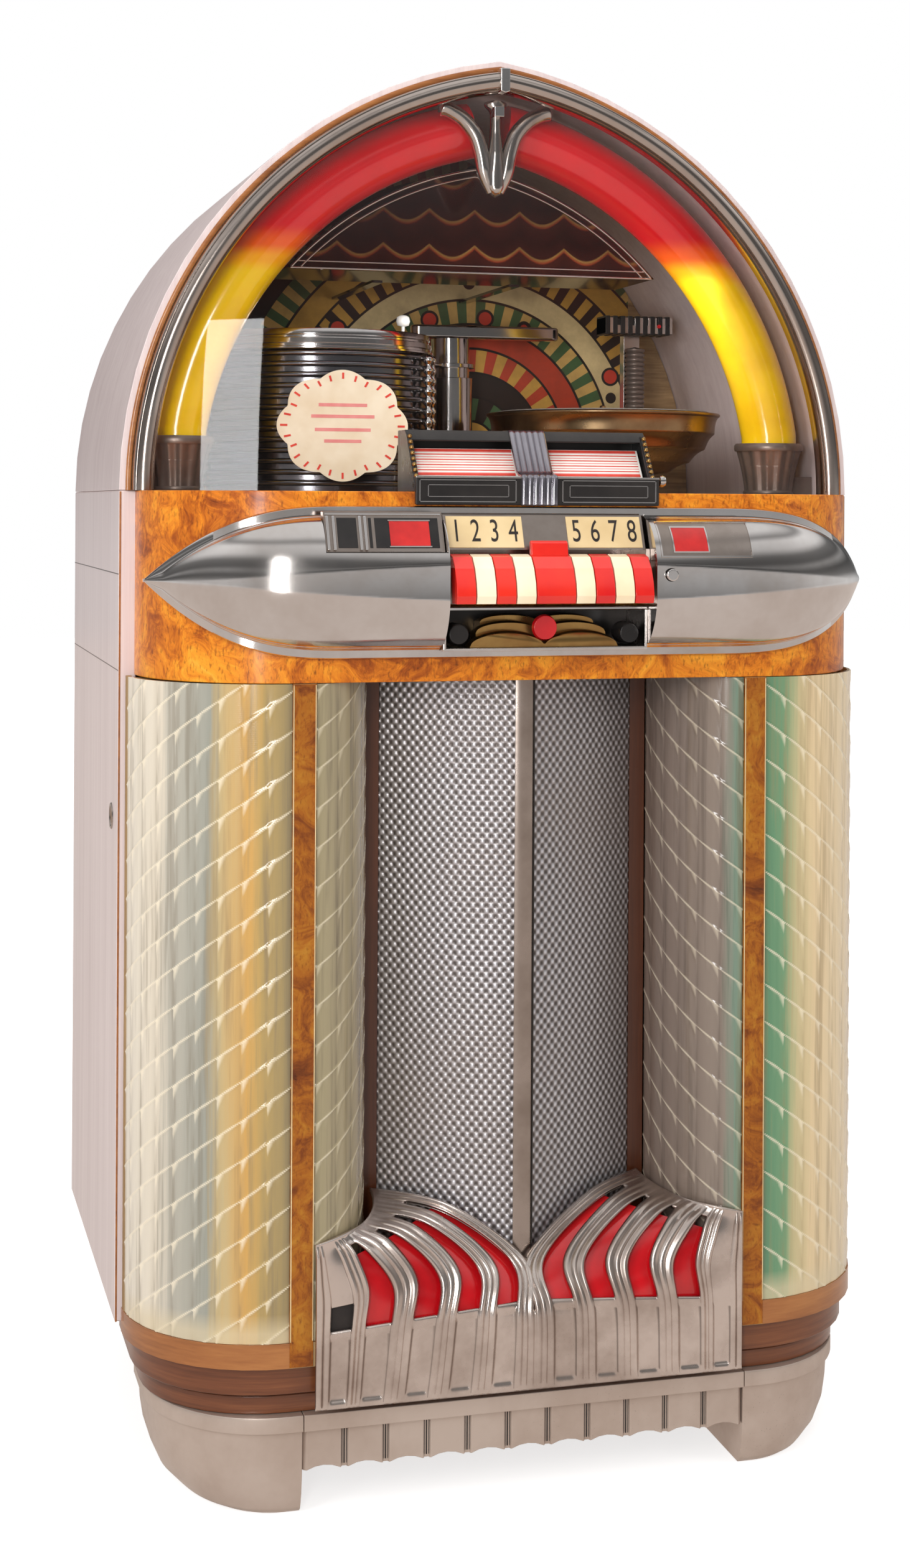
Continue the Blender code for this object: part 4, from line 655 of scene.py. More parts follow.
looks = dict(
    veneer=makeWood("sideVeneer",
                    [(0.3, rgb(206, 186, 184)), (0.55, rgb(226, 209, 206)), (0.75, rgb(238, 224, 220))],
                    (70, 70, 1.6), 1.0, 0.33, 0.2, 0.03),
    burl=makeBurl("burlVeneer"),
    burlDeep=makeBurl("burlPostVeneer", 0.72),
    mahogany=makeWood("mahoganyRings",
                      [(0.3, rgb(66, 30, 16)), (0.5, rgb(112, 62, 34)), (0.75, rgb(150, 92, 52))],
                      (3, 3, 90), 1.0, 0.3, 0.3),
    ringWood=makeWood("ringVeneer",
                      [(0.3, rgb(110, 60, 26)), (0.5, rgb(156, 96, 48)), (0.75, rgb(186, 124, 66))],
                      (5, 5, 60), 1.0, 0.3, 0.4),
    darkWood=makeWood("darkPostWood",
                      [(0.3, rgb(38, 16, 6)), (0.5, rgb(72, 33, 12)), (0.8, rgb(102, 52, 22))],
                      (60, 60, 2), 1.0, 0.35, 0.3),
    plywood=makeWood("rawPlywood",
                     [(0.3, rgb(132, 102, 68)), (0.55, rgb(172, 140, 98)), (0.8, rgb(196, 166, 124))],
                     (30, 30, 2), 1.0, 0.75, 0.0, 0.15),
    cast=makeMetal("castMetal", rgb(206, 190, 178), 0.36, 0.3, 0.5, 7.0, 0.12, 0.12, 0.62,
                   rgb(186, 166, 152)),
    castDark=makeMetal("castMetalDark", rgb(142, 126, 116), 0.4, 0.3, 0.55, 7.0, 0.1, 0.12, 0.7,
                       rgb(92, 78, 70)),
    chrome=makeMetal("chromePlate", rgb(226, 222, 220), 0.1, 0.06, 0.2, 6.0, 0.0, 0.03, 1.0,
                     rgb(206, 198, 192)),
    stackMetal=makeMetal("stackMetal", rgb(150, 148, 152), 0.16, 0.1, 0.26, 6.0, 0.0, 0.04, 1.0,
                         rgb(104, 100, 102)),
    clipMetal=makeMetal("clipMetal", rgb(176, 172, 180), 0.24, 0.2, 0.34, 8.0, 0.0, 0.03, 1.0,
                        rgb(150, 146, 154)),
    chromeDull=makeMetal("chromeDull", rgb(178, 166, 158), 0.3, 0.22, 0.4, 9.0, 0.0, 0.1, 1.0,
                         rgb(150, 136, 126)),
    greyMetal=makeMetal("greyEnamel", rgb(120, 120, 122), 0.45, 0.4, 0.6, 8.0, 0.05, 0.3, 0.4,
                        rgb(96, 96, 98)),
    blackMetal=makeMetal("blackEnamel", rgb(34, 32, 32), 0.3, 0.22, 0.45, 9.0, 0.0, 0.1, 0.2,
                         rgb(50, 46, 44)),
    brass=makeMetal("tarnishedBrass", rgb(206, 168, 104), 0.26, 0.2, 0.42, 10.0, 0.0, 0.08, 1.0,
                    rgb(168, 122, 74)),
    bronze=makeMetal("ribbedBronze", rgb(176, 146, 108), 0.3, 0.22, 0.45, 10.0, 0.0, 0.06, 1.0,
                     rgb(130, 98, 70)),
    keyRed=makePlastic("keyRed", rgb(226, 46, 30), rgb(206, 26, 28), 0.14, 0.6),
    keyCream=makePlastic("keyCream", rgb(250, 232, 200), rgb(238, 212, 172), 0.16, 0.6),
    lens=makePlastic("lensRed", rgb(206, 16, 26), rgb(176, 10, 20), 0.15, 0.6),
    tagRed=makePlastic("tagRed", rgb(196, 34, 32), rgb(168, 26, 26), 0.35, 0.1, 40.0),
    cream=makePlastic("agedCream", rgb(224, 200, 154), rgb(204, 176, 128), 0.35, 0.15),
    paper=makePlastic("cardPaper", rgb(240, 226, 200), rgb(226, 206, 174), 0.7, 0.0, 30.0),
    paperWhite=makePlastic("stripPaper", rgb(248, 242, 234), rgb(236, 226, 214), 0.6, 0.0, 30.0),
    inkRed=makePlastic("inkRed", rgb(222, 70, 52), rgb(206, 56, 44), 0.6, 0.0, 60.0),
    inkPink=makePlastic("inkPink", rgb(232, 150, 144), rgb(222, 132, 128), 0.6, 0.0, 60.0),
    inkDark=makePlastic("inkDark", rgb(30, 24, 22), rgb(46, 38, 34), 0.5, 0.0, 60.0),
    film=makePlastic("tintedFilm", rgb(226, 186, 92), rgb(200, 150, 60), 0.5, 0.0),
    cone=makePlastic("pressedPaper", rgb(52, 46, 42), rgb(70, 62, 56), 0.85, 0.0, 50.0, 0.3, 0.3),
    white=makePlastic("whiteKnob", rgb(240, 238, 232), rgb(226, 222, 212), 0.3, 0.3),
    tube=makeTubePlastic(),
    grille=makeGrille(),
    clear=makeClear("clearSheet", rgb(240, 242, 244), 0.9),
    smoky=makeHood(),
    # The kick metal's last colour is painted shade for the valleys and panel edges of the kick casting
    kickMetal=makeMetal("kickMetal", rgb(224, 212, 204), 0.26, 0.2, 0.38, 9.0, 0.05, 0.05, 0.96,
                        rgb(180, 164, 154), rgb(66, 54, 48)),
    trimMetal=makeMetal("trimMetal", rgb(196, 184, 176), 0.2, 0.14, 0.3, 6.0, 0.0, 0.02, 1.0,
                        rgb(170, 154, 144)),
    ornamentMetal=makeMetal("ornamentMetal", rgb(206, 198, 192), 0.18, 0.12, 0.26, 9.0, 0.0, 0.02, 1.0,
                            rgb(160, 146, 138)),
    backdrop=makeBackdropPaint(),
    # The last colour of each quilt is painted shade for its valleys, also used for its darker streaks
    quiltLeft=makeQuilt("quiltLeft",
                        [(-0.386, (228, 218, 200)), (-0.362, (216, 204, 184)), (-0.352, (178, 172, 158)),
                         (-0.318, (150, 150, 138)), (-0.31, (190, 168, 122)), (-0.284, (202, 156, 84)),
                         (-0.27, (176, 148, 90)), (-0.243, (142, 126, 90))], rgb(122, 108, 88)),
    quiltRight=makeQuilt("quiltRight",
                         [(0.243, (84, 128, 96)), (0.266, (112, 152, 112)), (0.28, (196, 182, 136)),
                          (0.3, (226, 200, 156)), (0.386, (236, 216, 180))], rgb(146, 122, 84)),
    quiltInner=makeQuilt("quiltInner",
                         [(-0.219, (150, 138, 106)), (-0.15, (176, 160, 130)), (-0.14, (140, 122, 100)),
                          (0.15, (118, 102, 92)), (0.2, (136, 122, 110)), (0.212, (112, 134, 116)),
                          (0.219, (126, 138, 112))], rgb(70, 58, 50)),
)
print("materials:", len(looks))


# Camera, floor, world and lamps

def makeCamera():
    # Turned by the yaw and the small roll; the shift puts the principal point at its pixel
    lens = bpy.data.cameras.new("photoCamera")
    wide, high = camera["frame"]
    lens.sensor_width = camera["sensor"]
    lens.lens = camera["focalPixels"] / high * camera["sensor"]
    lens.shift_x = (wide / 2 - camera["centrePixel"][0]) / high
    lens.shift_y = (camera["centrePixel"][1] - high / 2) / high
    thing = bpy.data.objects.new("photoCamera", lens)
    thing.location = camera["place"]
    thing.rotation_euler = (pi / 2, -camera["roll"], -camera["yaw"])
    bpy.context.scene.collection.objects.link(thing)
    bpy.context.scene.camera = thing


def fromPixel(px, py, y):
    # The point at depth y seen at a pixel: the view ray through the pixel meets that plane
    roll, yaw = camera["roll"], camera["yaw"]
    across, down = px - camera["centrePixel"][0], py - camera["centrePixel"][1]
    u = (cos(roll) * across + sin(roll) * down) / camera["focalPixels"]
    v = (cos(roll) * down - sin(roll) * across) / camera["focalPixels"]
    ahead = y - camera["place"][1]
    aside = ahead * (sin(yaw) + u * cos(yaw)) / (cos(yaw) - u * sin(yaw))
    depth = aside * sin(yaw) + ahead * cos(yaw)
    return camera["place"][0] + aside, camera["place"][2] - v * depth


def makeStage():
    # A floor that shows pure white away from the object and keeps its shadow, and a studio that mirrors see:
    # dark ahead, bands of light above, brighter at both sides
    room = dict(reach=14.0, lift=-0.0004, near=0.72, glow=1.0, mirror=0.78)
    n = 40
    t = np.linspace(-room["reach"], room["reach"], n)
    x, y = np.meshgrid(t, t)
    mesh = meshOf("floorSheet", skin(np.stack([x, y, np.full_like(x, room["lift"])], -1)), False)
    floor = bpy.data.objects.new("floorSheet", mesh)
    bpy.context.scene.collection.objects.link(floor)
    made, tree, shader, vector = startMaterial("paleFloor", 0.9)
    shader.inputs["Base Color"].default_value = (0.5, 0.49, 0.485, 1.0)
    shader.inputs["Specular IOR Level"].default_value = 0.0
    path = put(tree, "LightPath")
    reach = put(tree, "VectorMath", {0: vector}, operation="LENGTH").outputs["Value"]
    away = remap(tree, reach, 1.2, 2.6, room["near"], room["glow"])
    seen = put(tree, "Emission", {"Strength": times(tree, away, path.outputs["Is Camera Ray"])})
    total = put(tree, "AddShader", {0: shader.outputs[0], 1: seen.outputs[0]})
    mirrored = put(tree, "Emission", {"Color": (0.86, 0.75, 0.68, 1.0), "Strength": room["mirror"]})
    both = put(tree, "MixShader",
               {0: path.outputs["Is Glossy Ray"], 1: total.outputs[0], 2: mirrored.outputs[0]})
    tree.links.new(both.outputs[0], tree.nodes["Material Output"].inputs["Surface"])
    mesh.materials.append(made)
    floor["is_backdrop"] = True

    world = bpy.data.worlds.new("studio")
    bpy.context.scene.world = world
    world.use_nodes = True
    tree = world.node_tree
    tree.nodes.clear()
    way = split(tree, put(tree, "TexCoord").outputs["Generated"])
    share = remap(tree, way["Z"], -1.0, 1.0)
    tone = ramp(tree, share,
                [(0.0, 0.5), (0.49, 0.5), (0.515, 0.12), (0.56, 0.05), (0.6, 0.22), (0.63, 0.07),
                 (0.7, 0.12), (0.76, 0.55), (0.84, 0.72), (0.88, 0.25), (0.93, 0.8), (1.0, 0.85)])
    aside = remap(tree, calculate(tree, "ABSOLUTE", way["X"]), 0.55, 0.9, 0.0, 0.55)
    path = put(tree, "LightPath")
    plain = put(tree, "Background", {"Color": (1.0, 1.0, 1.0, 1.0), "Strength": 1.0})
    studio = put(tree, "Background", {"Color": tone, "Strength": plus(tree, 1.0, aside)})
    even = put(tree, "Background", {"Color": (0.56, 0.552, 0.548, 1.0), "Strength": 1.0})
    seen = calculate(tree, "MAXIMUM", path.outputs["Is Camera Ray"], path.outputs["Is Transmission Ray"])
    soft = put(tree, "MixShader",
               {0: path.outputs["Is Glossy Ray"], 1: even.outputs[0], 2: studio.outputs[0]})
    both = put(tree, "MixShader", {0: seen, 1: soft.outputs[0], 2: plain.outputs[0]})
    out = put(tree, "OutputWorld")
    tree.links.new(both.outputs[0], out.inputs["Surface"])


def makeLamp(name, place, aim, size, power, mirrored=True):
    # A rectangular lamp turned towards a point; one that isn't mirrored gives light only
    light = bpy.data.lights.new(name, "AREA")
    light.shape = "RECTANGLE"
    light.size, light.size_y = size
    light.energy = power
    thing = bpy.data.objects.new(name, light)
    thing.location = place
    way = np.array(aim) - np.array(place)
    thing.rotation_euler = (acos(-way[2] / np.linalg.norm(way)), 0, atan2(-way[0], way[1]))
    thing.visible_glossy = mirrored
    bpy.context.scene.collection.objects.link(thing)


def makeLamps():
    # A tall strip beside the camera makes the streak on the glass; the others are broad and weak
    aim = (0, -0.1, 0.8)
    makeLamp("stripLamp", (-1.06, -2.48, 1.3), (-0.27, -0.17, 1.1), (0.34, 1.3), 23)
    makeLamp("keyLamp", (-2.6, -1.9, 2.1), aim, (1.1, 1.9), 46, False)
    makeLamp("fillLamp", (2.6, -2.2, 1.7), aim, (1.2, 2.0), 25, False)
    makeLamp("topLamp", (0.0, -0.6, 3.4), aim, (2.2, 1.6), 32, False)
    makeLamp("rearLamp", (0.6, 3.2, 2.2), aim, (2.0, 1.6), 40, False)
    makeLamp("domeLamp", (0.1, -0.1, 1.14), (0.14, 0.3, 1.12), (0.3, 0.16), 0.42, False)


bpy.context.scene.view_settings.view_transform = "Standard"
makeCamera()
makeStage()
makeLamps()
print("camera, floor and lamps are set")


# Base: feet, apron, rings

foot = dict(inner=0.2266, back=0.055, side=0.064, front=0.027, steps=20,
            heights=(1.0, 0.975, 0.86, 0.84, 0.832, 0.8, 0.6, 0.4, 0.2, 0.07, 0.035, 0.03, 0.0),
            sideShares=(0.33, 0.315, 0.315, 0.33, 0.38, 0.39, 0.41, 0.46, 0.6, 0.8, 0.86, 0.9, 1.0),
            frontShares=(0.32, 0.296, 0.296, 0.3, 0.47, 0.481, 0.5, 0.525, 0.63, 0.79, 0.85, 0.88, 1.0))


def makeFeet():
    # Plan rings at each height: a flat stretch, then a quarter ellipse drawn in by the shares
    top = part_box("foot_left")[1].z
    turn = np.linspace(0, pi / 2, foot["steps"])
    back = wallFront + foot["back"]
    for side, name in ((-1, "foot_left"), (1, "foot_right")):
        rings = []
        for share, sideShare, frontShare in zip(foot["heights"], foot["sideShares"], foot["frontShares"]):
            reachX = cabinet["doorHalf"] - cabinet["postOuter"] - foot["side"] * sideShare
            reachY = doorBack - frontPlane - foot["front"] * frontShare
            x = cabinet["postOuter"] + reachX * np.sin(turn)
            y = doorBack - reachY * np.cos(turn)
            x = np.concatenate([[foot["inner"]], x, [x[-1], foot["inner"]]])
            y = np.concatenate([[y[0]], y, [back, back]])
            rings.append(np.column_stack([side * x, y, np.full(len(x), top * share)]))
        addPiece(name + "_casting", skin(np.stack(rings), closeColumns=True, caps=True),
                 looks["cast"], "root", (name,), bevel=0.0012, sharp=38)


def makeApron():
    # The fluted casting with softened edges, and a thin dark line in each joint
    addPiece("apron_casting", refined("apron"), looks["cast"], "root", ("apron",),
             bevel=0.0009)
    line = dict(panels=11, half=0.226, width=0.0011, y=-0.24965, low=0.046, high=0.0822)
    pitch = 2 * line["half"] / line["panels"]
    joints = []
    for index in range(1, line["panels"]):
        middle = -line["half"] + pitch * index
        for step in (-1, 0, 1):
            x = middle + step * 0.0024
            joints.append(block((x - line["width"] / 2, line["y"] - 0.0004, line["low"]),
                                (x + line["width"] / 2, line["y"] + 0.002, line["high"])))
    addPiece("apron_joint_lines", joined(*joints), looks["blackMetal"], "root", bevel=0.0002)


makeFeet()
makeApron()
addPiece("plinth_steps", refined("plinth"), looks["mahogany"], "root", ("plinth",),
         bevel=0.0012)
print("base done")


# Cabinet walls, band and door frame

def makeWalls():
    # Veneered walls with two seam lines, and a thin wood line down the front edge
    for side, name in ((-1, "side_wall_left"), (1, "side_wall_right")):
        addPiece(name + "_veneer", refined(name), looks["veneer"], "root", (name,),
                 bevel=0.0006)
        lines = []
        for height in (0.902, 0.806):
            across = sorted((side * (halfWidth + 0.00015), side * (halfWidth - 0.001)))
            lines.append(block((across[0], wallFront + 0.001, height - 0.0005),
                               (across[1], wallRear - 0.001, height + 0.0005)))
        addPiece(name + "_seams", joined(*lines), looks["darkWood"], "root")
        across = sorted((side * (halfWidth - 0.0006), side * (halfWidth - 0.0024)))
        addPiece(name + "_edge_line", block((across[0], wallFront - 0.0004, wallLow.z),
                                            (across[1], wallFront + 0.001, seam - 0.001)),
                 looks["ringWood"], "root", bevel=0.0002)


def splitLevel(shape, height):
    # Cuts the faces of a shape along a level plane, without opening it
    made = bmesh.new()
    corners = [made.verts.new(point) for point in shape[0]]
    for face in shape[1]:
        made.faces.new([corners[index] for index in face])
    bmesh.ops.bisect_plane(made, geom=made.verts[:] + made.edges[:] + made.faces[:],
                           plane_co=(0, 0, height), plane_no=(0, 0, 1))
    made.verts.index_update()
    points = np.array([vertex.co[:] for vertex in made.verts])
    faces = [[vertex.index for vertex in face.verts] for face in made.faces]
    made.free()
    return points, faces


def makeDoorFrame():
    # The frame cut level with its ring's top, so that each face takes the wood of the part it belongs to
    shape = splitLevel(refined("door_frame"), doorLow.z + 0.0238)
    thing = addPiece("door_frame_woods", shape, looks["ringWood"], "door", ("door_frame",),
                     bevel=0.0014, sharp=38)
    for look in (looks["burlDeep"], looks["darkWood"], looks["plywood"]):
        thing.data.materials.append(look)
    centres = np.empty(len(thing.data.polygons) * 3)
    thing.data.polygons.foreach_get("center", centres)
    x, z = np.abs(centres.reshape(-1, 3)).T[[0, 2]]
    picked = np.zeros(len(x), np.int32)
    above = z > doorLow.z + 0.0242
    picked[above] = 3
    picked[above & (x > cabinet["postInner"] - 0.001) & (x < cabinet["postOuter"] + 0.001)] = 1
    picked[above & (x < cabinet["innerPostOuter"] + 0.001) & (x > cabinet["innerPostInner"] - 0.001)] = 2
    thing.data.polygons.foreach_set("material_index", picked)
    lines, covers = [], []
    for side in (-1, 1):
        across = sorted((side * (cabinet["postInner"] - 0.0002), side * (cabinet["postOuter"] + 0.0002)))
        covers.append(block((across[0], frontPlane - 0.0005, doorLow.z + 0.0004),
                            (across[1], frontPlane + 0.03, panelHigh.z)))
        for edge in (cabinet["postInner"] + 0.0006, cabinet["postOuter"] - 0.0006):
            lines.append(block((side * edge - 0.0005, frontPlane - 0.0008, panelLow.z + 0.001),
                               (side * edge + 0.0005, frontPlane + 0.001, panelHigh.z - 0.001)))
    addPiece("post_veneers", joined(*covers), looks["burlDeep"], "door", bevel=0.0005)
    addPiece("post_edge_lines", joined(*lines), looks["cream"], "door", bevel=0.0002)


makeWalls()
addPiece("selector_band_veneer", refined("selector_band"), looks["burl"], "root",
         ("selector_band",), bevel=0.001, sharp=38)
makeDoorFrame()
print("walls, band and door frame done")


# Quilted panels and the woven grille

quilt = dict(rows=460, columns=118, flute=0.024, rise=0.0378, lean=0.66, depth=0.0021, thickness=0.0042,
             line=0.0011, wedge=0.42, wedgePower=2.1, edge=0.0006, stop=0.0123)
panelRows = np.linspace(panelLow.z, panelHigh.z, quilt["rows"])


def quiltRelief(along, height, way, pale=1.0):
    # Flutes of a half sine; a thin raised line rises over them, and under it a wedge narrows down
    # one side of each; the material paints line and wedge as highlights
    u = (1 - way * along / quilt["flute"]) % 1.0
    turn = (height + way * quilt["lean"] * along) / quilt["rise"]
    below = np.ceil(turn) - turn
    body = 0.22 + 0.3 * np.sin(pi * u) ** 0.7 + 0.06 * (1 - below)
    wedge = np.clip((quilt["wedge"] * (1 - below) ** quilt["wedgePower"] - u) / 0.2, 0, 1)
    wedge = wedge * np.clip(u / 0.05, 0, 1)
    line = np.exp(-(np.minimum(below, 1 - below) * quilt["rise"] / quilt["line"]) ** 2)
    return np.clip(body + (1 - body) * pale * np.maximum(0.75 * wedge, line), 0, 1)


def runLength(x, y):
    # The length run along a line up to each of its points
    return np.concatenate([[0], np.cumsum(np.hypot(np.diff(x), np.diff(y)))])


def faceOutward(name):
    # Turns a closed sheet's faces outwards without merging its points
    mesh = bpy.data.objects[name].data
    made = bmesh.new()
    made.from_mesh(mesh)
    bmesh.ops.recalc_face_normals(made, faces=made.faces)
    made.to_mesh(mesh)
    made.free()


def makeQuilted(name, look, relief, plan):
    # The relief sinks the face by shortening both reaches of its ellipse; plan gives x and y at a depth
    sink = (1 - relief) * quilt["depth"]
    faces = []
    for depth in (sink, np.full_like(sink, quilt["thickness"])):
        x, y = plan(depth)
        faces.append(np.stack([x, y, np.broadcast_to(panelRows[:, None], x.shape)], -1))
    addPiece(name + "_quilt", slab(*faces), look, "door", (name,), recalculate=False,
             sharp=60, relief=np.concatenate([relief, np.full_like(relief, 0.5)], axis=1))
    faceOutward(name + "_quilt")


def makeOuterPanels():
    # A quarter ellipse in plan, from the tall post round to the cabinet's side
    reachX = cabinet["doorHalf"] - cabinet["postOuter"] - quilt["edge"]
    reachY = doorBack - frontPlane - quilt["edge"]
    turn = np.linspace(0, acos(quilt["stop"] / (reachY - quilt["thickness"])), quilt["columns"])
    along = runLength(reachX * np.sin(turn), reachY * np.cos(turn))
    relief = quiltRelief(along[None, :], panelRows[:, None], 1.0)
    start = cabinet["postOuter"] + cabinet["seatGap"]
    for side, name, look in ((-1, "outer_panel_left", "quiltLeft"), (1, "outer_panel_right", "quiltRight")):
        def plan(depth):
            x = np.minimum(start + (reachX - depth) * np.sin(turn), cabinet["doorHalf"] - quilt["edge"])
            return side * x, doorBack - (reachY - depth) * np.cos(turn)
        makeQuilted(name, looks[look], relief, plan)


def makeInnerPanels():
    # A quarter ellipse in plan that turns back from the tall post to the inner one
    back = frontPlane + cabinet["innerPostBack"]
    start = cabinet["postInner"] - cabinet["seatGap"]
    reachX = start - cabinet["innerPostOuter"] - cabinet["seatGap"]
    reachY = cabinet["innerPostBack"] - cabinet["seatGap"]
    turn = np.linspace(0, pi / 2, quilt["columns"])
    along = runLength(reachX * np.sin(turn), reachY * np.cos(turn))
    relief = quiltRelief(along[None, :], panelRows[:, None], -1.0, 0.62)
    for side, name in ((-1, "inner_panel_left"), (1, "inner_panel_right")):
        def plan(depth):
            return side * (start - (reachX - depth) * np.sin(turn)), back - (reachY - depth) * np.cos(turn)
        makeQuilted(name, looks["quiltInner"], relief, plan)


grille = dict(columns=120, rows=540, pitch=(0.0091, 0.0107), depth=0.0013, thickness=0.002, bow=0.008,
              ribSetback=0.035, ribHalf=0.0103, ribThickness=0.012)


def makeGrilleHalves():
    # Each half bows forward; its relief is a lattice of round tops: (1 + cos u cos v) / 2, sharpened
    tip = frontPlane + grille["ribSetback"] + grille["ribThickness"] / 2
    endX = cabinet["innerPostInner"] - cabinet["seatGap"]
    endY = frontPlane + cabinet["innerPostBack"]
    share = np.linspace(0, 1, grille["columns"])
    z = np.linspace(panelLow.z, panelHigh.z, grille["rows"])
    x = share * endX
    y = tip + (endY - tip) * share - grille["bow"] * 4 * share * (1 - share)
    along = runLength(x, y)
    across, up = (2 * pi / pitch for pitch in grille["pitch"])
    relief = ((1 + np.cos(across * along[None, :]) * np.cos(up * z[:, None])) / 2) ** 1.3
    for side, name in ((-1, "grille_weave_left"), (1, "grille_weave_right")):
        front = np.stack([np.broadcast_to(side * x, relief.shape), y + (1 - relief) * grille["depth"],
                          np.broadcast_to(z[:, None], relief.shape)], -1)
        back = np.stack([front[..., 0], np.broadcast_to(y + grille["thickness"], relief.shape),
                         front[..., 2]], -1)
        stands = ("grille",) if side > 0 else ()
        addPiece(name, slab(front, back), looks["grille"], "door", stands,
                 recalculate=False, sharp=75, relief=np.concatenate([relief, relief[:, ::-1] * 0], axis=1))
        faceOutward(name)
    low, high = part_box("centre_rib")
    half = grille["ribHalf"]
    turn = np.linspace(-1, 1, 17)
    crown = np.column_stack([half * turn, low.y + 0.0018 * np.abs(turn) ** 2.5])
    outline = np.concatenate([crown,
                              [(half, high.y - 0.006), (0, high.y - 0.002), (-half, high.y - 0.006)]])
    addPiece("centre_rib_cover", prism(outline, low.z, high.z), looks["chromeDull"], "door",
             ("centre_rib",), bevel=0.0004)
    edge = block((half - 0.0016, low.y - 0.0004, low.z + 0.002),
                 (half - 0.0008, low.y + 0.003, high.z - 0.002))
    addPiece("centre_rib_line", edge, looks["blackMetal"], "door")


makeOuterPanels()
makeInnerPanels()
makeGrilleHalves()
print("panels and grille done")


# Kick casting: the same curves as the solid, in fine steps, with ridges on the ribs

kick = dict(bottom=0.107, proud=0.0047, wall=0.004, seat=0.0008, valley=0.2263, innerPost=0.2846,
            outer=0.2652, bulge=0.022, sideGap=0.0012, rows=96, perColumn=14, slots=4, slotRows=(0.3, 0.86),
            holeRows=(0.3, 0.45),
            edges=(0.0, 0.06, 0.14), slotsStart=0.2, slotWidth=0.52, fold=0.64, ease=0.1, swellOut=0.6,
            swellUp=0.8, swellRun=1.1, swellPower=1.5, ridge=0.0025, ridges=3, narrow=0.72, panel=0.0024,
            panelRows=(0.035, 0.275))


def kickEdge(points, share):
    # A smooth curve through the chosen points, read at many shares at once
    points = np.asarray(points, float)
    span = np.clip(share, 0, 1) * (len(points) - 1)
    index = np.minimum(span.astype(int), len(points) - 2)
    t = (span - index)[..., None]
    before = points[np.maximum(0, index - 1)]
    here, after = points[index], points[index + 1]
    beyond = points[np.minimum(len(points) - 1, index + 2)]
    one, two = (after - before) / 2, (beyond - here) / 2
    return (here * (2 * t ** 3 - 3 * t ** 2 + 1) + one * (t ** 3 - 2 * t ** 2 + t)
            + after * (3 * t ** 2 - 2 * t ** 3) + two * (t ** 3 - t ** 2))


def kickTop(across):
    # The upper back edge, on a quarter ellipse just in front of the inner panel
    turn = pi / 2 * np.asarray(across)
    start = cabinet["postInner"] - kick["sideGap"]
    rim = (cabinet["innerPostOuter"] + cabinet["innerPostInner"]) / 2
    back = frontPlane + cabinet["innerPostBack"] - kick["wall"] - kick["seat"]
    height = kick["outer"] + (kick["innerPost"] - kick["outer"]) * np.asarray(across)
    return np.stack([start - (start - rim) * np.sin(turn), back - cabinet["innerPostBack"] * np.cos(turn),
                     height + 0 * turn], -1)


def kickSurface(across, along):
    # across 0 at the tall post and 1 at the middle; along 0 at the bottom and 1 at the back
    face = frontPlane - kick["proud"]
    high, end = kickTop(0.0), kickTop(1.0)
    bend = (kick["bottom"] + kick["outer"]) / 2
    outer = [(high[0], face, kick["bottom"]), (high[0], face - kick["proud"] / 5, bend),
             (high[0], face - kick["proud"] / 5, (bend + kick["outer"]) / 2), high]
    tip = frontPlane + grille["ribSetback"] - kick["wall"] * 2
    inner = [(0, face, kick["bottom"]),
             (0, face, kick["bottom"] + (kick["valley"] - kick["bottom"]) * kick["fold"]),
             (0, tip, kick["valley"]),
             (end[0] / 2, (tip + end[1]) / 2 - grille["bow"], kick["innerPost"] - kick["wall"] * 2), end]
    one, two = kickEdge(outer, along), kickEdge(inner, along)
    ease = kick["ease"] * np.sin(pi * across)
    mix = (across + ease * along)[..., None]
    point = one * (1 - mix) + two * mix
    level = (across + ease)[..., None]
    point += (kickTop(across) - (high * (1 - level) + end * level)) * along[..., None] ** 3
    rise = np.sin(pi * np.minimum(1, along * kick["swellRun"])) ** kick["swellPower"]
    swell = kick["bulge"] * np.sin(pi * across) * rise
    point[..., 1] -= kick["swellOut"] * swell
    point[..., 2] += kick["swellUp"] * swell * along
    return point


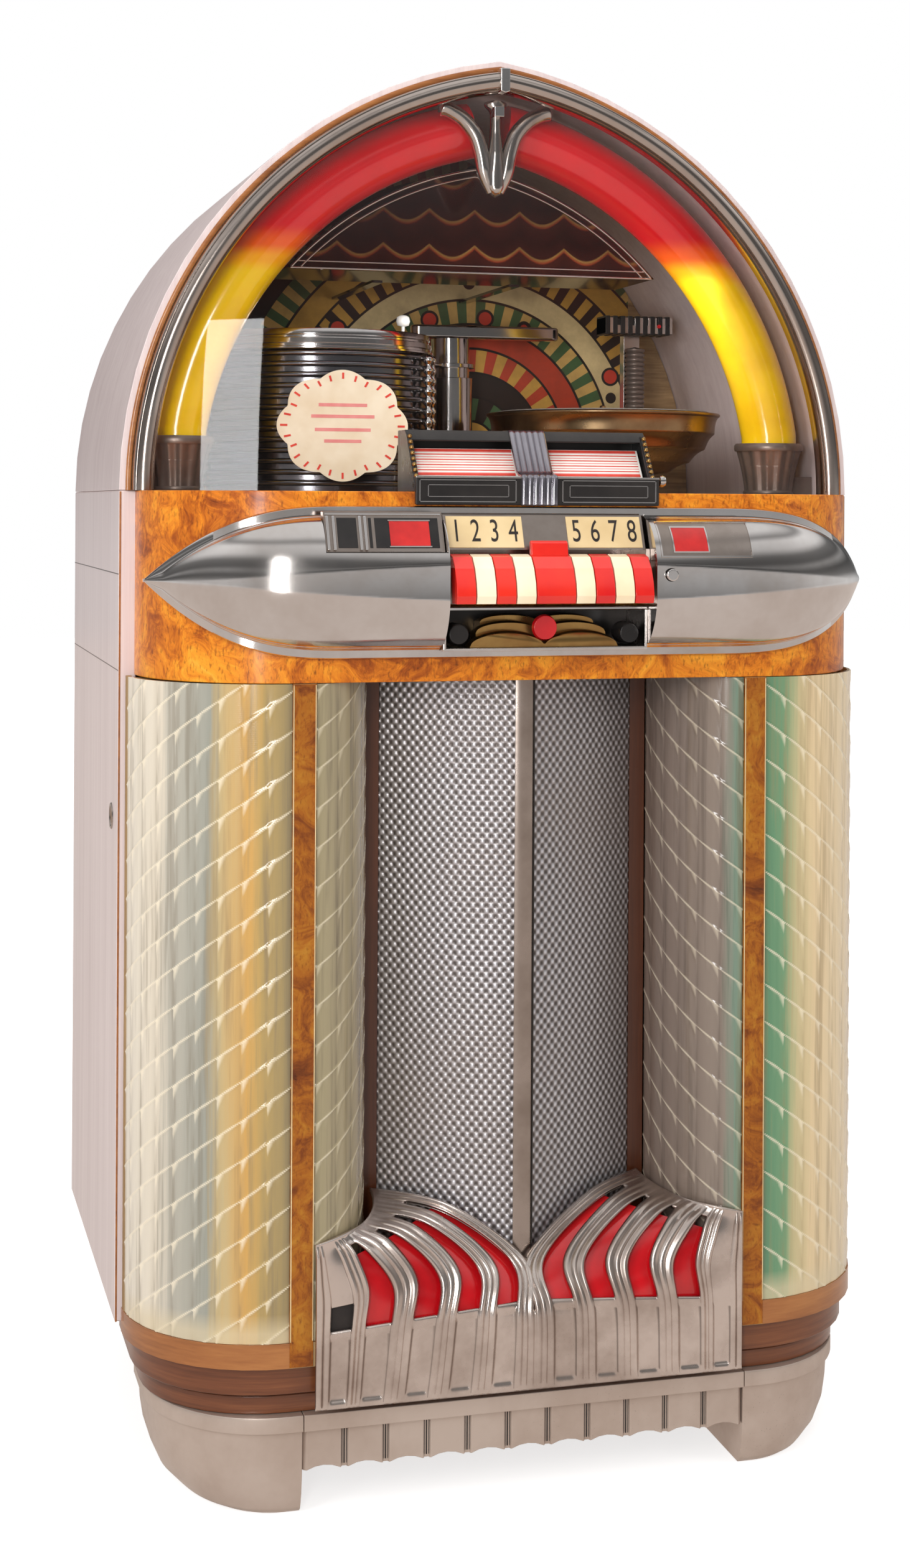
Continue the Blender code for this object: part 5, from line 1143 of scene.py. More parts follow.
def makeKick():
    # Columns follow the slots, which narrow upwards; ribs carry rounded ridges,
    # and under each slot is a sunk panel
    pitch = (1 - kick["slotsStart"]) / kick["slots"]
    stations = list(kick["edges"])
    slots = []
    for index in range(kick["slots"]):
        start = kick["slotsStart"] + index * pitch
        slots.append(len(stations))
        stations += [start, start + pitch * kick["slotWidth"]]
    stations = np.array(stations + [1.0])
    low, high = kick["slotRows"]
    along = np.linspace(0, 1, kick["rows"] + 1)
    inSlot = np.clip((along - low) / (high - low), 0, 1)
    width = 1 - kick["narrow"] * inSlot ** 1.6
    lines = np.repeat(stations[None, :], len(along), 0)
    for slot in slots:
        middle = (stations[slot] + stations[slot + 1]) / 2
        for edge in (slot, slot + 1):
            lines[:, edge] = middle + (stations[edge] - middle) * width
    fine = kick["perColumn"]
    local = np.arange(fine) / fine
    across = (lines[:, :-1, None]
              + (lines[:, 1:] - lines[:, :-1])[..., None] * local).reshape(len(along), -1)
    across = np.concatenate([across, lines[:, -1:]], axis=1)
    column = np.repeat(np.arange(len(stations) - 1), fine)
    local = np.tile(local, len(stations) - 1)
    panels = slots + [1]
    isRib = ~np.isin(column, panels)
    count = np.where(column == 0, 2, kick["ridges"])
    ridge = np.append(np.abs(np.sin(pi * count * local)) ** 0.9 * isRib, 0)
    sunk = np.append(np.clip(np.minimum(local, 1 - local) / 0.1, 0, 1) * np.isin(column, panels), 0)
    grown = np.clip(along / 0.02, 0, 1) * np.clip((high + 0.12 - along) / 0.12, 0, 1)
    first, last = kick["panelRows"]
    inPanel = np.clip((along - first) / 0.012, 0, 1) * np.clip((last - along) / 0.012, 0, 1)
    # This relief only colours the casting: painted shade in the valleys between ridges, along the sunk
    # panels' edges, and growing towards the top of each sunk panel
    relief = np.ones((len(along), len(ridge)))
    relief -= (1 - ridge)[None, :] * np.append(isRib, False)[None, :] * grown[:, None] * 0.8
    edge = np.append(np.clip(1 - np.minimum(local, 1 - local) / 0.12, 0, 1) * np.isin(column, panels), 0)
    relief -= 0.9 * edge[None, :] * inPanel[:, None]
    shade = np.clip((along - last + 0.1) / 0.1, 0, 1) * inPanel
    relief = np.clip(relief - 0.5 * sunk[None, :] * shade[:, None], 0, 1)
    mid = (along[:-1] + along[1:]) / 2
    openRows = (mid > low) & (mid < high)
    holeRows = (mid > kick["holeRows"][0]) & (mid < kick["holeRows"][1])
    shapes, reliefs = [], []
    for side in (-1, 1):
        point = kickSurface(across, np.repeat(along[:, None], across.shape[1], 1))
        lift = kick["ridge"] * ridge[None, :] * grown[:, None]
        lift = lift - kick["panel"] * sunk[None, :] * inPanel[:, None]
        point[..., 1] -= lift
        point[..., 2] += 0.4 * np.maximum(lift, 0)
        point[..., 0] *= side
        keep = ~(openRows[:, None] & np.isin(column, slots)[None, :])
        if side < 0:
            keep &= ~(holeRows[:, None] & (column == 1)[None, :])
        shapes.append(skin(point if side > 0 else point[:, ::-1], keep=keep if side > 0 else keep[:, ::-1]))
        reliefs.append((relief if side > 0 else relief[:, ::-1]).reshape(-1))
    made = addPiece("kick_casting_ribs", joined(*shapes), looks["kickMetal"], "door",
                    ("kick_casting",),
                    thick=0.004, sharp=50, recalculate=False, relief=np.concatenate(reliefs))
    u, v = np.meshgrid(np.linspace(0.045, 0.155, 8), np.linspace(0.27, 0.48, 8))
    back = kickSurface(u, v) * (-1, 1, 1)
    addPiece("kick_hole_backing", slab(back + (0, 0.0048, -0.003), back + (0, 0.0058, -0.0036)),
             looks["inkDark"], "door")
    trimmed = bmesh.new()
    trimmed.from_mesh(made.data)
    bmesh.ops.delete(trimmed, geom=[v for v in trimmed.verts if not v.link_faces], context="VERTS")
    bmesh.ops.remove_doubles(trimmed, verts=trimmed.verts, dist=mergeGap)
    bmesh.ops.recalc_face_normals(trimmed, faces=trimmed.faces)
    trimmed.to_mesh(made.data)
    trimmed.free()


makeKick()
addPiece("red_lens_sheet", refined("red_lens"), looks["lens"], "door", ("red_lens",),
         sharp=60)
print("kick casting done")


# Bezel with its flange, groove and raised spindle

bezel = dict(tip=0.3766, middle=0.898, half=0.0735, taper=0.19, taperPower=2.9, tipForward=0.0766,
             backPower=2.6,
             rimDepth=0.005, depth=0.0616, sidePower=3.2, crownPower=0.8, tipHeight=0.0015, columns=200,
             around=120, rim=0.008, grooveDepth=0.0036, grooveWidth=0.024, facetHalf=0.0195, facetTip=0.34,
             facetFlat=-0.12, facetMiddle=0.001)


def bezelSize(x):
    # Height, back line and reach of the bezel at x
    x = np.abs(np.asarray(x, float))
    near = np.clip((bezel["tip"] - x) / bezel["taper"], 0, 1)
    height = np.maximum(bezel["tipHeight"], bezel["half"] * (1 - (1 - near) ** bezel["taperPower"]))
    past = np.maximum(0, (x - cabinet["postOuter"]) / (bezel["tip"] - cabinet["postOuter"]))
    back = frontPlane - cabinet["seatGap"] + bezel["tipForward"] * past ** bezel["backPower"]
    share = x / bezel["tip"]
    crown = np.maximum(0, 1 - share ** bezel["sidePower"]) ** bezel["crownPower"]
    reach = bezel["rimDepth"] + (bezel["depth"] - bezel["rimDepth"]) * crown
    return height, back, reach


def bezelFace(x, z):
    # The dome's outermost y at a point of its face; between the spindle's creases the dome is flattened
    height, back, reach = bezelSize(x)
    dome = np.maximum(height - bezel["rim"], height / 2)
    span = reach - bezel["rimDepth"]

    def crown(offset):
        share = np.clip(np.abs(offset) / dome, 0, 1)
        return bezel["rimDepth"] + span * np.sqrt(1 - share ** 2) ** bezel["crownPower"]
    offset = z - bezel["middle"]
    share = np.clip(np.abs(offset) / dome, 0, 1)
    out = crown(offset)
    groove = np.exp(-((share - 0.955) / bezel["grooveWidth"]) ** 2) * bezel["grooveDepth"] * np.clip(
        height / bezel["half"], 0, 1)
    spindle = bezel["facetHalf"] * np.maximum(0, 1 - (np.abs(x) / bezel["facetTip"]) ** 2)
    low, high = crown(bezel["facetMiddle"] - spindle), crown(bezel["facetMiddle"] + spindle)
    across = np.clip((offset - bezel["facetMiddle"] + spindle) / np.maximum(2 * spindle, 0.00001), 0, 1)
    chord = low + (high - low) * across
    inside = np.abs(offset - bezel["facetMiddle"]) < spindle
    out = np.where(inside, chord + (out - chord) * bezel["facetFlat"], out)
    return back - np.maximum(out - groove, 0.001)


def onBezel(px, py):
    # Where the view ray through a pixel meets the bezel's face, found by a few repeats
    y = frontPlane - 0.045
    for _ in range(6):
        x, z = fromPixel(px, py, y)
        y = float(bezelFace(x, z))
    return x, z


def makeBezel():
    # Rings across the bezel: flange, groove and dome in one closed section, then the openings are cut
    x = -bezel["tip"] * np.cos(pi * np.arange(bezel["columns"] + 1) / bezel["columns"])
    height, back, _ = bezelSize(x)
    dome = np.maximum(height - bezel["rim"], height / 2)
    turn = -pi / 2 + pi * np.arange(1, bezel["around"]) / bezel["around"]
    z = bezel["middle"] + dome[:, None] * np.sin(turn)[None, :]
    y = bezelFace(x[:, None], z)
    edge = bezel["middle"] - height

    def line(yPart, zPart):
        return np.stack([x, yPart, zPart], -1)[:, None]
    rim = bezel["rimDepth"]
    low = [line(back, edge), line(back - rim * 0.7, edge), line(back - rim, edge + 0.0012),
           line(back - rim, bezel["middle"] - dome)]
    top = 2 * bezel["middle"]
    high = [line(back - rim, bezel["middle"] + dome), line(back - rim, top - edge - 0.0012),
            line(back - rim * 0.7, top - edge), line(back, top - edge)]
    face = np.stack([np.broadcast_to(x[:, None], z.shape), y, z], -1)
    rings = np.concatenate(low + [face] + high, axis=1)
    whole = skin(rings, closeColumns=True, caps=True)
    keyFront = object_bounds()[0].y
    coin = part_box("coin_plate")
    window = dict(half=0.1035, low=0.8321, high=0.965)
    gap = 0.0005
    openings = [block((-window["half"], keyFront - 0.01, window["low"]),
                      (window["half"], frontPlane + 0.01, window["high"])),
                block((coin[0].x - gap, keyFront - 0.01, coin[0].z - gap),
                      (coin[1].x + gap, coin[1].y, coin[1].z + gap))]
    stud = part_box("cancel_button")
    centre = (stud[0] + stud[1]) / 2
    radius = (stud[1].x - stud[0].x) / 2 + 0.0006
    openings.append(lathe([(0, keyFront - 0.05), (radius, keyFront - 0.05), (radius, stud[1].y + 0.0046),
                           (0, stud[1].y + 0.0046)], (centre.x, 0, centre.z), 32, "y"))
    addPiece("bezel_plate", carved(whole, *openings), looks["chrome"], "root", ("bezel",),
             bevel=0.0007, sharp=42)


def bezelPatch(low, high, lift, thickness=0.001):
    # A thin plate that follows the bezel's face between two corners of (x, z)
    x, z = np.meshgrid(np.linspace(low[0], high[0], 24), np.linspace(low[1], high[1], 12))
    y = bezelFace(x, z)
    front = np.stack([x, y - lift, z], -1)
    back = np.stack([x, y + thickness, z], -1)
    return slab(front, back)


def makeBezelFittings():
    # Plain red tag inside a thin chrome frame on the right; ribs, slots and a plain red label
    # at the coin plate
    tag = dict(frame=(1036, 828, 1208, 893), label=(1076, 848, 1138, 886), edge=0.0013)
    (x0, z1), (x1, z0) = onBezel(*tag["label"][:2]), onBezel(*tag["label"][2:])
    addPiece("right_tag", bezelPatch((x0, z0), (x1, z1), 0.0008), looks["tagRed"], "root")
    edge = tag["edge"]
    bars = []
    for box in (tag["frame"], tag["label"]):
        (x0, z1), (x1, z0) = onBezel(*box[:2]), onBezel(*box[2:])
        bars += [bezelPatch((x0 - edge, z0 - edge), (x1 + edge, z0), 0.0012),
                 bezelPatch((x0 - edge, z1), (x1 + edge, z1 + edge), 0.0012),
                 bezelPatch((x0 - edge, z0), (x0, z1), 0.0012),
                 bezelPatch((x1, z0), (x1 + edge, z1), 0.0012)]
    (x0, z1), (x1, z0) = onBezel(*tag["frame"][:2]), onBezel(*tag["frame"][2:])
    addPiece("right_tag_plate", bezelPatch((x0, z0), (x1, z1), 0.0003), looks["chromeDull"], "root")
    addPiece("right_tag_frame", joined(*bars), looks["chrome"], "root", bevel=0.0003)
    low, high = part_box("coin_plate")
    addPiece("coin_plate_body", refined("coin_plate"), looks["chromeDull"], "root",
             ("coin_plate",), bevel=0.0008)

    def plateBar(xLow, xHigh, zLow, zHigh, lift):
        # The plate's front leans back by 17 mm over its height
        front = [low.y + 0.017 * (z - low.z) / (high.z - low.z) for z in (zLow, zHigh)]
        outline = [(front[0] - lift, zLow), (front[1] - lift, zHigh), (front[1] + 0.002, zHigh),
                   (front[0] + 0.002, zLow)]
        return prism(outline, xLow, xHigh, "x")
    ribs = [plateBar(x, x + 0.003, low.z + 0.002, high.z - 0.004, 0.003)
            for x in (-0.2195, -0.2135, -0.188, -0.183)]
    addPiece("coin_ribs", joined(*ribs), looks["chrome"], "root", bevel=0.0008)
    slots = [plateBar(x, x + w, low.z + 0.004, high.z - 0.006, 0.0004) for x,
             w in ((-0.2085, 0.019), (-0.178, 0.003),
                 (-0.172, 0.062))]
    addPiece("coin_slots", joined(*slots), looks["blackMetal"], "root", bevel=0.0003)
    addPiece("coin_label", plateBar(-0.158, -0.119, low.z + 0.006, high.z - 0.009, 0.0012),
             looks["tagRed"], "root", bevel=0.0004)
    rim = [plateBar(-0.1592, -0.1178, low.z + 0.0048, low.z + 0.006, 0.0016),
           plateBar(-0.1592, -0.1178, high.z - 0.009, high.z - 0.0078, 0.0016),
           plateBar(-0.2195, -0.107, high.z - 0.0034, high.z - 0.0018, 0.001)]
    addPiece("coin_light_lines", joined(*rim), looks["chrome"], "root", bevel=0.0003)
    addPiece("stud_button", refined("cancel_button"), looks["chrome"], "cancel_button",
             ("cancel_button",), bevel=0.0012, bevelSteps=3)


makeBezel()
makeBezelFittings()
print("bezel done")


# Keys, number strips and coin return

def makeNumber(text, name, place, size, slope, body):
    # One narrow digit as flat raised ink, laid on a face that leans back by the slope
    curve = bpy.data.curves.new(name, "FONT")
    curve.body = text
    curve.size = size
    curve.align_x = "CENTER"
    curve.align_y = "CENTER"
    curve.extrude = 0.00015
    curve.resolution_u = 6
    maker = bpy.data.objects.new(name + "_maker", curve)
    bpy.context.scene.collection.objects.link(maker)
    mesh = bpy.data.meshes.new_from_object(maker.evaluated_get(bpy.context.evaluated_depsgraph_get()))
    bpy.data.objects.remove(maker)
    points = np.empty(len(mesh.vertices) * 3)
    mesh.vertices.foreach_get("co", points)
    points = points.reshape(-1, 3) * (0.62, 1, 1)
    tilt = pi / 2 - slope
    turned = np.column_stack([points[:, 0], points[:, 1] * cos(tilt) - points[:, 2] * sin(tilt),
                              points[:, 1] * sin(tilt) + points[:, 2] * cos(tilt)])
    faces = [list(face.vertices) for face in mesh.polygons]
    addPiece(name, (turned + np.array(place), faces), looks["inkDark"], body, sharp=30)


def makeKeys():
    # Softened keys, the program key's crest, and leaning strips with a digit for each key
    for name in [f"key_{index}" for index in range(1, 9)] + ["program_key"]:
        slotName = [s["material_slot"] for s in frame["record"]["subparts"] if s["node"] == name][0]
        look = looks["keyRed"] if slotName == "red_plastic" else looks["keyCream"]
        addPiece(name + "_cap", refined(name), look, name, (name,), bevel=0.0011, bevelSteps=3,
                 sharp=16)
    crest = [(-0.3015, 0.9235), (-0.3007, 0.9375), (-0.3035, 0.9392), (-0.3068, 0.937), (-0.3095, 0.9245)]
    addPiece("program_key_crest", prism(crest, -0.0186, 0.0186, "x"), looks["keyRed"], "program_key",
             bevel=0.001, bevelSteps=3)
    addPiece("key_frame_plate", refined("key_frame"), looks["chromeDull"], "root", ("key_frame",),
             bevel=0.0006, sharp=40)
    strip = dict(foot=(-0.2981, 0.93), head=(-0.2841, 0.9635), share=(0.05, 0.95), outer=0.0985,
                 inner=0.0225, rise=0.0008, digit=0.033)
    lower, upper = np.array(strip["foot"]), np.array(strip["head"])
    slope = atan2(upper[0] - lower[0], upper[1] - lower[1])
    out = np.array([-cos(slope), sin(slope)])
    for side, digits in ((-1, "1234"), (1, "5678")):
        across = sorted((side * strip["outer"], side * strip["inner"]))
        low, high = (lower + (upper - lower) * share for share in strip["share"])
        outline = [low + out * strip["rise"], high + out * strip["rise"], high - out * 0.001,
                   low - out * 0.001]
        name = "number_strip_left" if side < 0 else "number_strip_right"
        addPiece(name, prism(outline, across[0], across[1], "x"), looks["cream"], "root",
                 bevel=0.0003)
        pitch = (across[1] - across[0]) / 4
        middle = (lower + upper) / 2 + out * (strip["rise"] + 0.0001)
        for index, digit in enumerate(digits):
            makeNumber(digit, "number_" + digit, (across[0] + pitch * (index + 0.5), *middle),
                       strip["digit"], slope, "root")


def makeCoinReturn():
    # A dark box behind a thin frame, with lobed shelves, a red flag and round ends
    low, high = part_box("coin_return_cup")
    addPiece("coin_return_box", refined("coin_return_cup"), looks["chromeDull"], "root",
             ("coin_return_cup",), bevel=0.0006)
    wall = 0.0022
    dark = [block((low.x + wall, low.y + 0.055, low.z + wall),
                  (high.x - wall, low.y + 0.0565, high.z - wall)),
            block((low.x + wall, low.y + 0.004, high.z - wall - 0.0006),
                  (high.x - wall, low.y + 0.055, high.z - wall - 0.0001))]
    addPiece("coin_return_dark", joined(*dark), looks["blackMetal"], "root")
    # Two lobes on each of three shelves: height = rise * root of
    # (1 - distance from the lobe's middle squared)
    u, v = np.meshgrid(np.linspace(-1, 1, 80), np.linspace(0, 1, 14))
    shelves = []
    for level, reach, rise, back in ((0.0, 0.075, 0.016, 0.0), (0.013, 0.066, 0.012, 0.012),
                                     (0.023, 0.058, 0.008, 0.026)):
        lobe = np.sqrt(np.clip(1 - (np.abs(np.abs(u) - 0.5) / 0.5) ** 2, 0, 1))
        z = low.z + wall + 0.0012 + level + rise * lobe * np.sin(pi * (0.3 + 0.6 * v))
        y = low.y + 0.006 + back + 0.022 * v
        shelves.append(slab(np.stack([u * reach, y, z], -1),
                            np.stack([u * reach, y, np.full_like(z, low.z + wall + 0.0004)], -1)))
    addPiece("coin_return_tray", joined(*shelves), looks["brass"], "root", sharp=60)
    flag = [(0, low.y + 0.003), (0.0115, low.y + 0.003), (0.0128, low.y + 0.008), (0, low.y + 0.008)]
    addPiece("coin_return_flag", lathe(flag, (0, 0, low.z + 0.022), 40, "y"), looks["lens"], "root",
             bevel=0.0006)
    ends = [lathe([(0, low.y + 0.004), (0.0095, low.y + 0.004), (0.0105, low.y + 0.007),
                   (0.0105, low.y + 0.03), (0, low.y + 0.03)],
                  (side * 0.0865, 0, low.z + 0.016), 32, "y") for side in (-1, 1)]
    addPiece("coin_return_ends", joined(*ends), looks["blackMetal"], "root", bevel=0.001)
    edge = 0.0026
    mouth = low.y - 0.0008
    bars = [block((low.x, mouth, low.z - 0.0001), (high.x, mouth + 0.002, low.z + edge)),
            block((low.x, mouth, high.z - edge), (high.x, mouth + 0.002, high.z)),
            block((low.x, mouth, low.z + edge), (low.x + edge, mouth + 0.002, high.z - edge)),
            block((high.x - edge, mouth, low.z + edge), (high.x, mouth + 0.002, high.z - edge))]
    addPiece("coin_return_frame", joined(*bars), looks["chrome"], "root", bevel=0.0005)


makeKeys()
makeCoinReturn()
print("keys and coin return done")


# Title holder

def makeTitleHolder():
    # Shell and drum, then cards, ends, front plate, clip and knob
    addPiece("title_holder_shell", refined("title_holder"), looks["blackMetal"], "root",
             ("title_holder",), bevel=0.0006, sharp=40)
    addPiece("title_drum_core", refined("title_drum"), looks["paperWhite"], "title_drum",
             ("title_drum",), bevel=0.0006)
    # Title cards stand on the drum's three faces
    centre = np.array([-0.2220, 1.0092])
    radius = 0.0198
    slope = atan2(1.0427 - 0.9923, -0.2290 + 0.2640)
    reach = dict(inner=0.0145, outer=0.1165, lift=0.0003, cards=5)
    cards, pinks, reds = [], [], []
    for face in range(3):
        turn = slope - pi / 2 + face * 2 * pi / 3
        out = np.array([-cos(turn), -sin(turn)])
        along = np.array([sin(turn), -cos(turn)])
        base = centre + out * radius / 2
        half = radius * 0.8

        def strip(one, two, xLow, xHigh, lift):
            a = base + along * half * one
            b = base + along * half * two
            outline = [a + out * lift, b + out * lift, b - out * 0.0004, a - out * 0.0004]
            return prism(outline, xLow, xHigh, "x")
        for side in (-1, 1):
            xLow, xHigh = sorted((side * reach["inner"], side * reach["outer"]))
            pitch = 2 / reach["cards"]
            reds.append(strip(-1.0, -0.84, xLow, xHigh, 0.0007))
            reds.append(strip(0.84, 1.0, xLow, xHigh, 0.0007))
            for index in range(reach["cards"]):
                start = -1 + pitch * index
                cards.append(strip(start + 0.03, start + pitch - 0.03, xLow, xHigh, reach["lift"]))
                pinks.append(strip(start + pitch * 0.42, start + pitch * 0.58, xLow, xHigh, 0.00045))
                if index:
                    reds.append(strip(start - 0.035, start + 0.035, xLow, xHigh, 0.0006))
    addPiece("title_cards", joined(*cards), looks["paperWhite"], "title_drum")
    addPiece("title_card_bands", joined(*pinks), looks["inkPink"], "title_drum")
    addPiece("title_card_lines", joined(*reds), looks["inkRed"], "title_drum")
    # Black slanted ends with beads, enamel face with nested lines, fluted middle clip and a knob
    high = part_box("title_holder")[1]
    ends, beads = [], []
    start, stop = np.array([-0.2644, 0.9926]), np.array([-0.2294, 1.0429])
    for side in (-1, 1):
        across = sorted((side * (high.x + 0.0002), side * (high.x - 0.0052)))
        outline = [start + (-0.0012, 0.0004), stop + (-0.0012, 0.0004), stop + (0.001, -0.001),
                   start + (0.001, -0.001)]
        ends.append(prism(outline, across[0], across[1], "x"))
        for index in range(9):
            place = start + (stop - start) * (index + 0.5) / 9
            profile = [(0, -0.0023)] + [(0.0023 * cos(a), 0.0023 * sin(a))
                                        for a in np.linspace(-pi / 2, pi / 2, 9)[1:-1]] + [(0, 0.0023)]
            beads.append(lathe(profile, (side * (high.x - 0.0026), place[0] - 0.0022, place[1]), 16))
    addPiece("title_holder_ends", joined(*ends), looks["blackMetal"], "root", bevel=0.0005)
    addPiece("title_holder_beads", joined(*beads), looks["brass"], "root")
    plate = dict(half=high.x + 0.0004, low=0.9728, high=1.0004, front=-0.2728, back=-0.2667)
    addPiece("title_holder_plate", block((-plate["half"], plate["front"], plate["low"]),
                                         (plate["half"], plate["back"], plate["high"])),
             looks["blackMetal"], "root", bevel=0.0012, bevelSteps=3)
    lines = []
    for side in (-1, 1):
        for outer, inner, rim, wide in ((0.121, 0.0235, 0.0028, 0.0009), (0.1125, 0.031, 0.0078, 0.0007)):
            x0, x1 = sorted((side * outer, side * inner))
            z0, z1 = plate["low"] + rim, plate["high"] - rim
            y = plate["front"] - 0.0005
            for box in (((x0, z0), (x1, z0 + wide)), ((x0, z1 - wide), (x1, z1)),
                        ((x0, z0), (x0 + wide, z1)), ((x1 - wide, z0), (x1, z1))):
                lines.append(block((box[0][0], y, box[0][1]), (box[1][0], y + 0.001, box[1][1])))
    addPiece("title_holder_lines", joined(*lines), looks["chrome"], "root")
    rim = [block((-plate["half"], plate["front"] - 0.0006, plate["high"] - 0.0014),
                 (plate["half"], plate["front"] + 0.001, plate["high"] + 0.0004))]
    addPiece("title_holder_rim", joined(*rim), looks["chrome"], "root", bevel=0.0004)
    flutes = np.linspace(-1, 1, 113)
    wave = 0.0014 * np.abs(np.sin(flutes * pi * 3)) ** 0.8
    rows = []
    for y, z in ((-0.2742, 0.9732), (-0.2746, 0.9992), (-0.2728, 1.0022), (-0.2640, 1.0034),
                 (-0.2562, 1.0062), (-0.2297, 1.0438), (-0.2262, 1.0472), (-0.205, 1.0474)):
        rows.append(np.stack([flutes * 0.0185, y - wave, np.full_like(wave, z) + wave * 0.4], -1))
    front = np.stack(rows)
    addPiece("title_holder_clip", slab(front, front + np.array([0, 0.0024, -0.0012])),
             looks["clipMetal"], "root", sharp=50)
    knob = [(0, high.x), (0.0026, high.x), (0.0026, high.x + 0.004), (0.0052, high.x + 0.0055),
            (0.006, high.x + 0.0085), (0.0046, high.x + 0.0112), (0, high.x + 0.012)]
    addPiece("title_holder_knob", lathe(knob, (0, -0.2585, 0.9975), 28, "x"), looks["chrome"], "root",
             sharp=45)


makeTitleHolder()
print("title holder done")


# Dome: shell, trim, windshield, tubes, cups, ornament, canopy and backdrop

dome = dict(tubeInset=0.0608, tubeRadius=0.0299, tubeY=-0.0695, tubeLow=0.03, tubeBend=0.064,
            tubeEndX=0.018, glassInset=0.0345, glassSetback=0.012, glassBulge=0.055, glassThickness=0.003)


def makeTrim():
    # Half an ellipse to the power 0.6 with two fine grooves, as one closed section swept round the arch
    back = wallFront - cabinet["seatGap"]
    trim = dict(start=0.012, end=0.034, out=0.0203, power=0.6, grooves=(0.0152, 0.0306), groove=0.0022,
                width=0.00045)
    turn = np.linspace(0, pi, 72)
    inset = trim["start"] + (trim["end"] - trim["start"]) * (1 - np.cos(turn)) / 2
    out = trim["out"] * np.maximum(np.sin(turn), 0) ** trim["power"]
    for place in trim["grooves"]:
        out = np.maximum(0, out - trim["groove"] * np.exp(-((inset - place) / trim["width"]) ** 2))
    addPiece("dome_trim_strip", archSweep(list(zip(inset, back - out)), 72), looks["trimMetal"], "lid",
             ("dome_trim",), sharp=60)
    wood = [(0.0062, back), (0.0062, back - 0.0022), (0.0074, back - 0.003), (0.0106, back - 0.003),
            (0.0116, back - 0.0022), (0.0116, back)]
    addPiece("dome_wood_line", archSweep(wood), looks["ringWood"], "lid", sharp=40)
    peak = seam + sqrt((cabinet["archRadius"] - 0.012) ** 2 - cabinet["archOffset"] ** 2)
    clip = [(-0.0052, peak + 0.0016), (0.0052, peak + 0.0016), (0.0052, peak - 0.0225), (0, peak - 0.0245),
            (-0.0052, peak - 0.0225)]
    addPiece("trim_joint_clip", prism(clip, back - 0.0218, back - 0.008, "y"), looks["chrome"], "lid",
             bevel=0.0012)


def makeWindshield():
    # Half width follows the arch; depth bows forward by (1 - height share squared)(1 - side share squared)
    radius = cabinet["archRadius"] - dome["glassInset"]
    top = sqrt(radius ** 2 - cabinet["archOffset"] ** 2)
    rise = np.sin(np.linspace(0, pi / 2, 61))[:, None]
    share = np.linspace(-1, 1, 65)[None, :]
    height = top * rise
    half = np.maximum(0.0002, np.sqrt(np.maximum(0, radius ** 2 - height ** 2)) - cabinet["archOffset"])
    x = half * share
    y = wallFront - dome["glassSetback"] - dome["glassBulge"] * (1 - rise ** 2) * (1 - share ** 2)
    z = seam + cabinet["seatGap"] + height + 0 * share
    front = np.stack([x, y - dome["glassThickness"] / 2, z], -1)
    back = np.stack([x * 0.997, y + dome["glassThickness"] / 2, z - 0.0008 * rise], -1)
    addPiece("windshield_sheet", slab(front, back), looks["clear"], "lid", ("windshield",),
             sharp=40)


def makeTubes():
    # A straight foot in its cup, then the arc of the arch, with rounded ends
    arc = archLine(dome["tubeInset"], 56, dome["tubeBend"], dome["tubeEndX"])
    straight = np.column_stack([np.full(4, arc[0, 0]),
                                np.linspace(seam + dome["tubeLow"], arc[0, 1], 5)[:-1]])
    line = np.concatenate([straight, arc])
    size = np.full(len(line), dome["tubeRadius"])
    size[0], size[-1] = dome["tubeRadius"] * 0.93, dome["tubeRadius"] * 0.985
    for side, name in ((-1, "tube_left"), (1, "tube_right")):
        path = np.column_stack([side * line[:, 0], np.full(len(line), dome["tubeY"]), line[:, 1]])
        addPiece(name + "_light", tube(path, size, 48), looks["tube"], "lid", (name,),
                 sharp=50)
        cup = name.replace("tube", "ferrule")
        low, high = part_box(cup)
        centre = (side * arc[0, 0], dome["tubeY"], low.z)
        # Fluted cup: its radius grows as height to the power 1.6, with a rolled rim
        share = np.linspace(0, 1, 18)
        outer = [(0.0265 + 0.0092 * s ** 1.6, 0.048 * s) for s in share]
        shape = lathe(outer + [(0.0312, 0.048), (0.0312, 0.031), (0.0, 0.031), (0.0, 0.0)], centre, 168,
                      flutes=14, fluteDepth=0.06)
        rim = lathe([(0.0312, 0.0478), (0.0372, 0.0478), (0.038, 0.0502), (0.0378, 0.054), (0.0362, 0.0561),
                     (0.0325, 0.0561), (0.0314, 0.055)], centre, 72)
        base = lathe([(0.0, -0.0), (0.0272, 0.0), (0.0282, 0.0022), (0.0272, 0.0046), (0.0, 0.0046)],
                     centre, 72)
        across = sorted((side * (abs(centre[0]) + 0.0245), side * (max(abs(low.x), abs(high.x)))))
        lug = block((across[0], dome["tubeY"] - 0.006, low.z),
                    (across[1], dome["tubeY"] + 0.006, low.z + 0.02))
        addPiece(cup + "_cup", joined(shape, rim, base, lug), looks["castDark"], "lid",
                 (cup,), sharp=50)


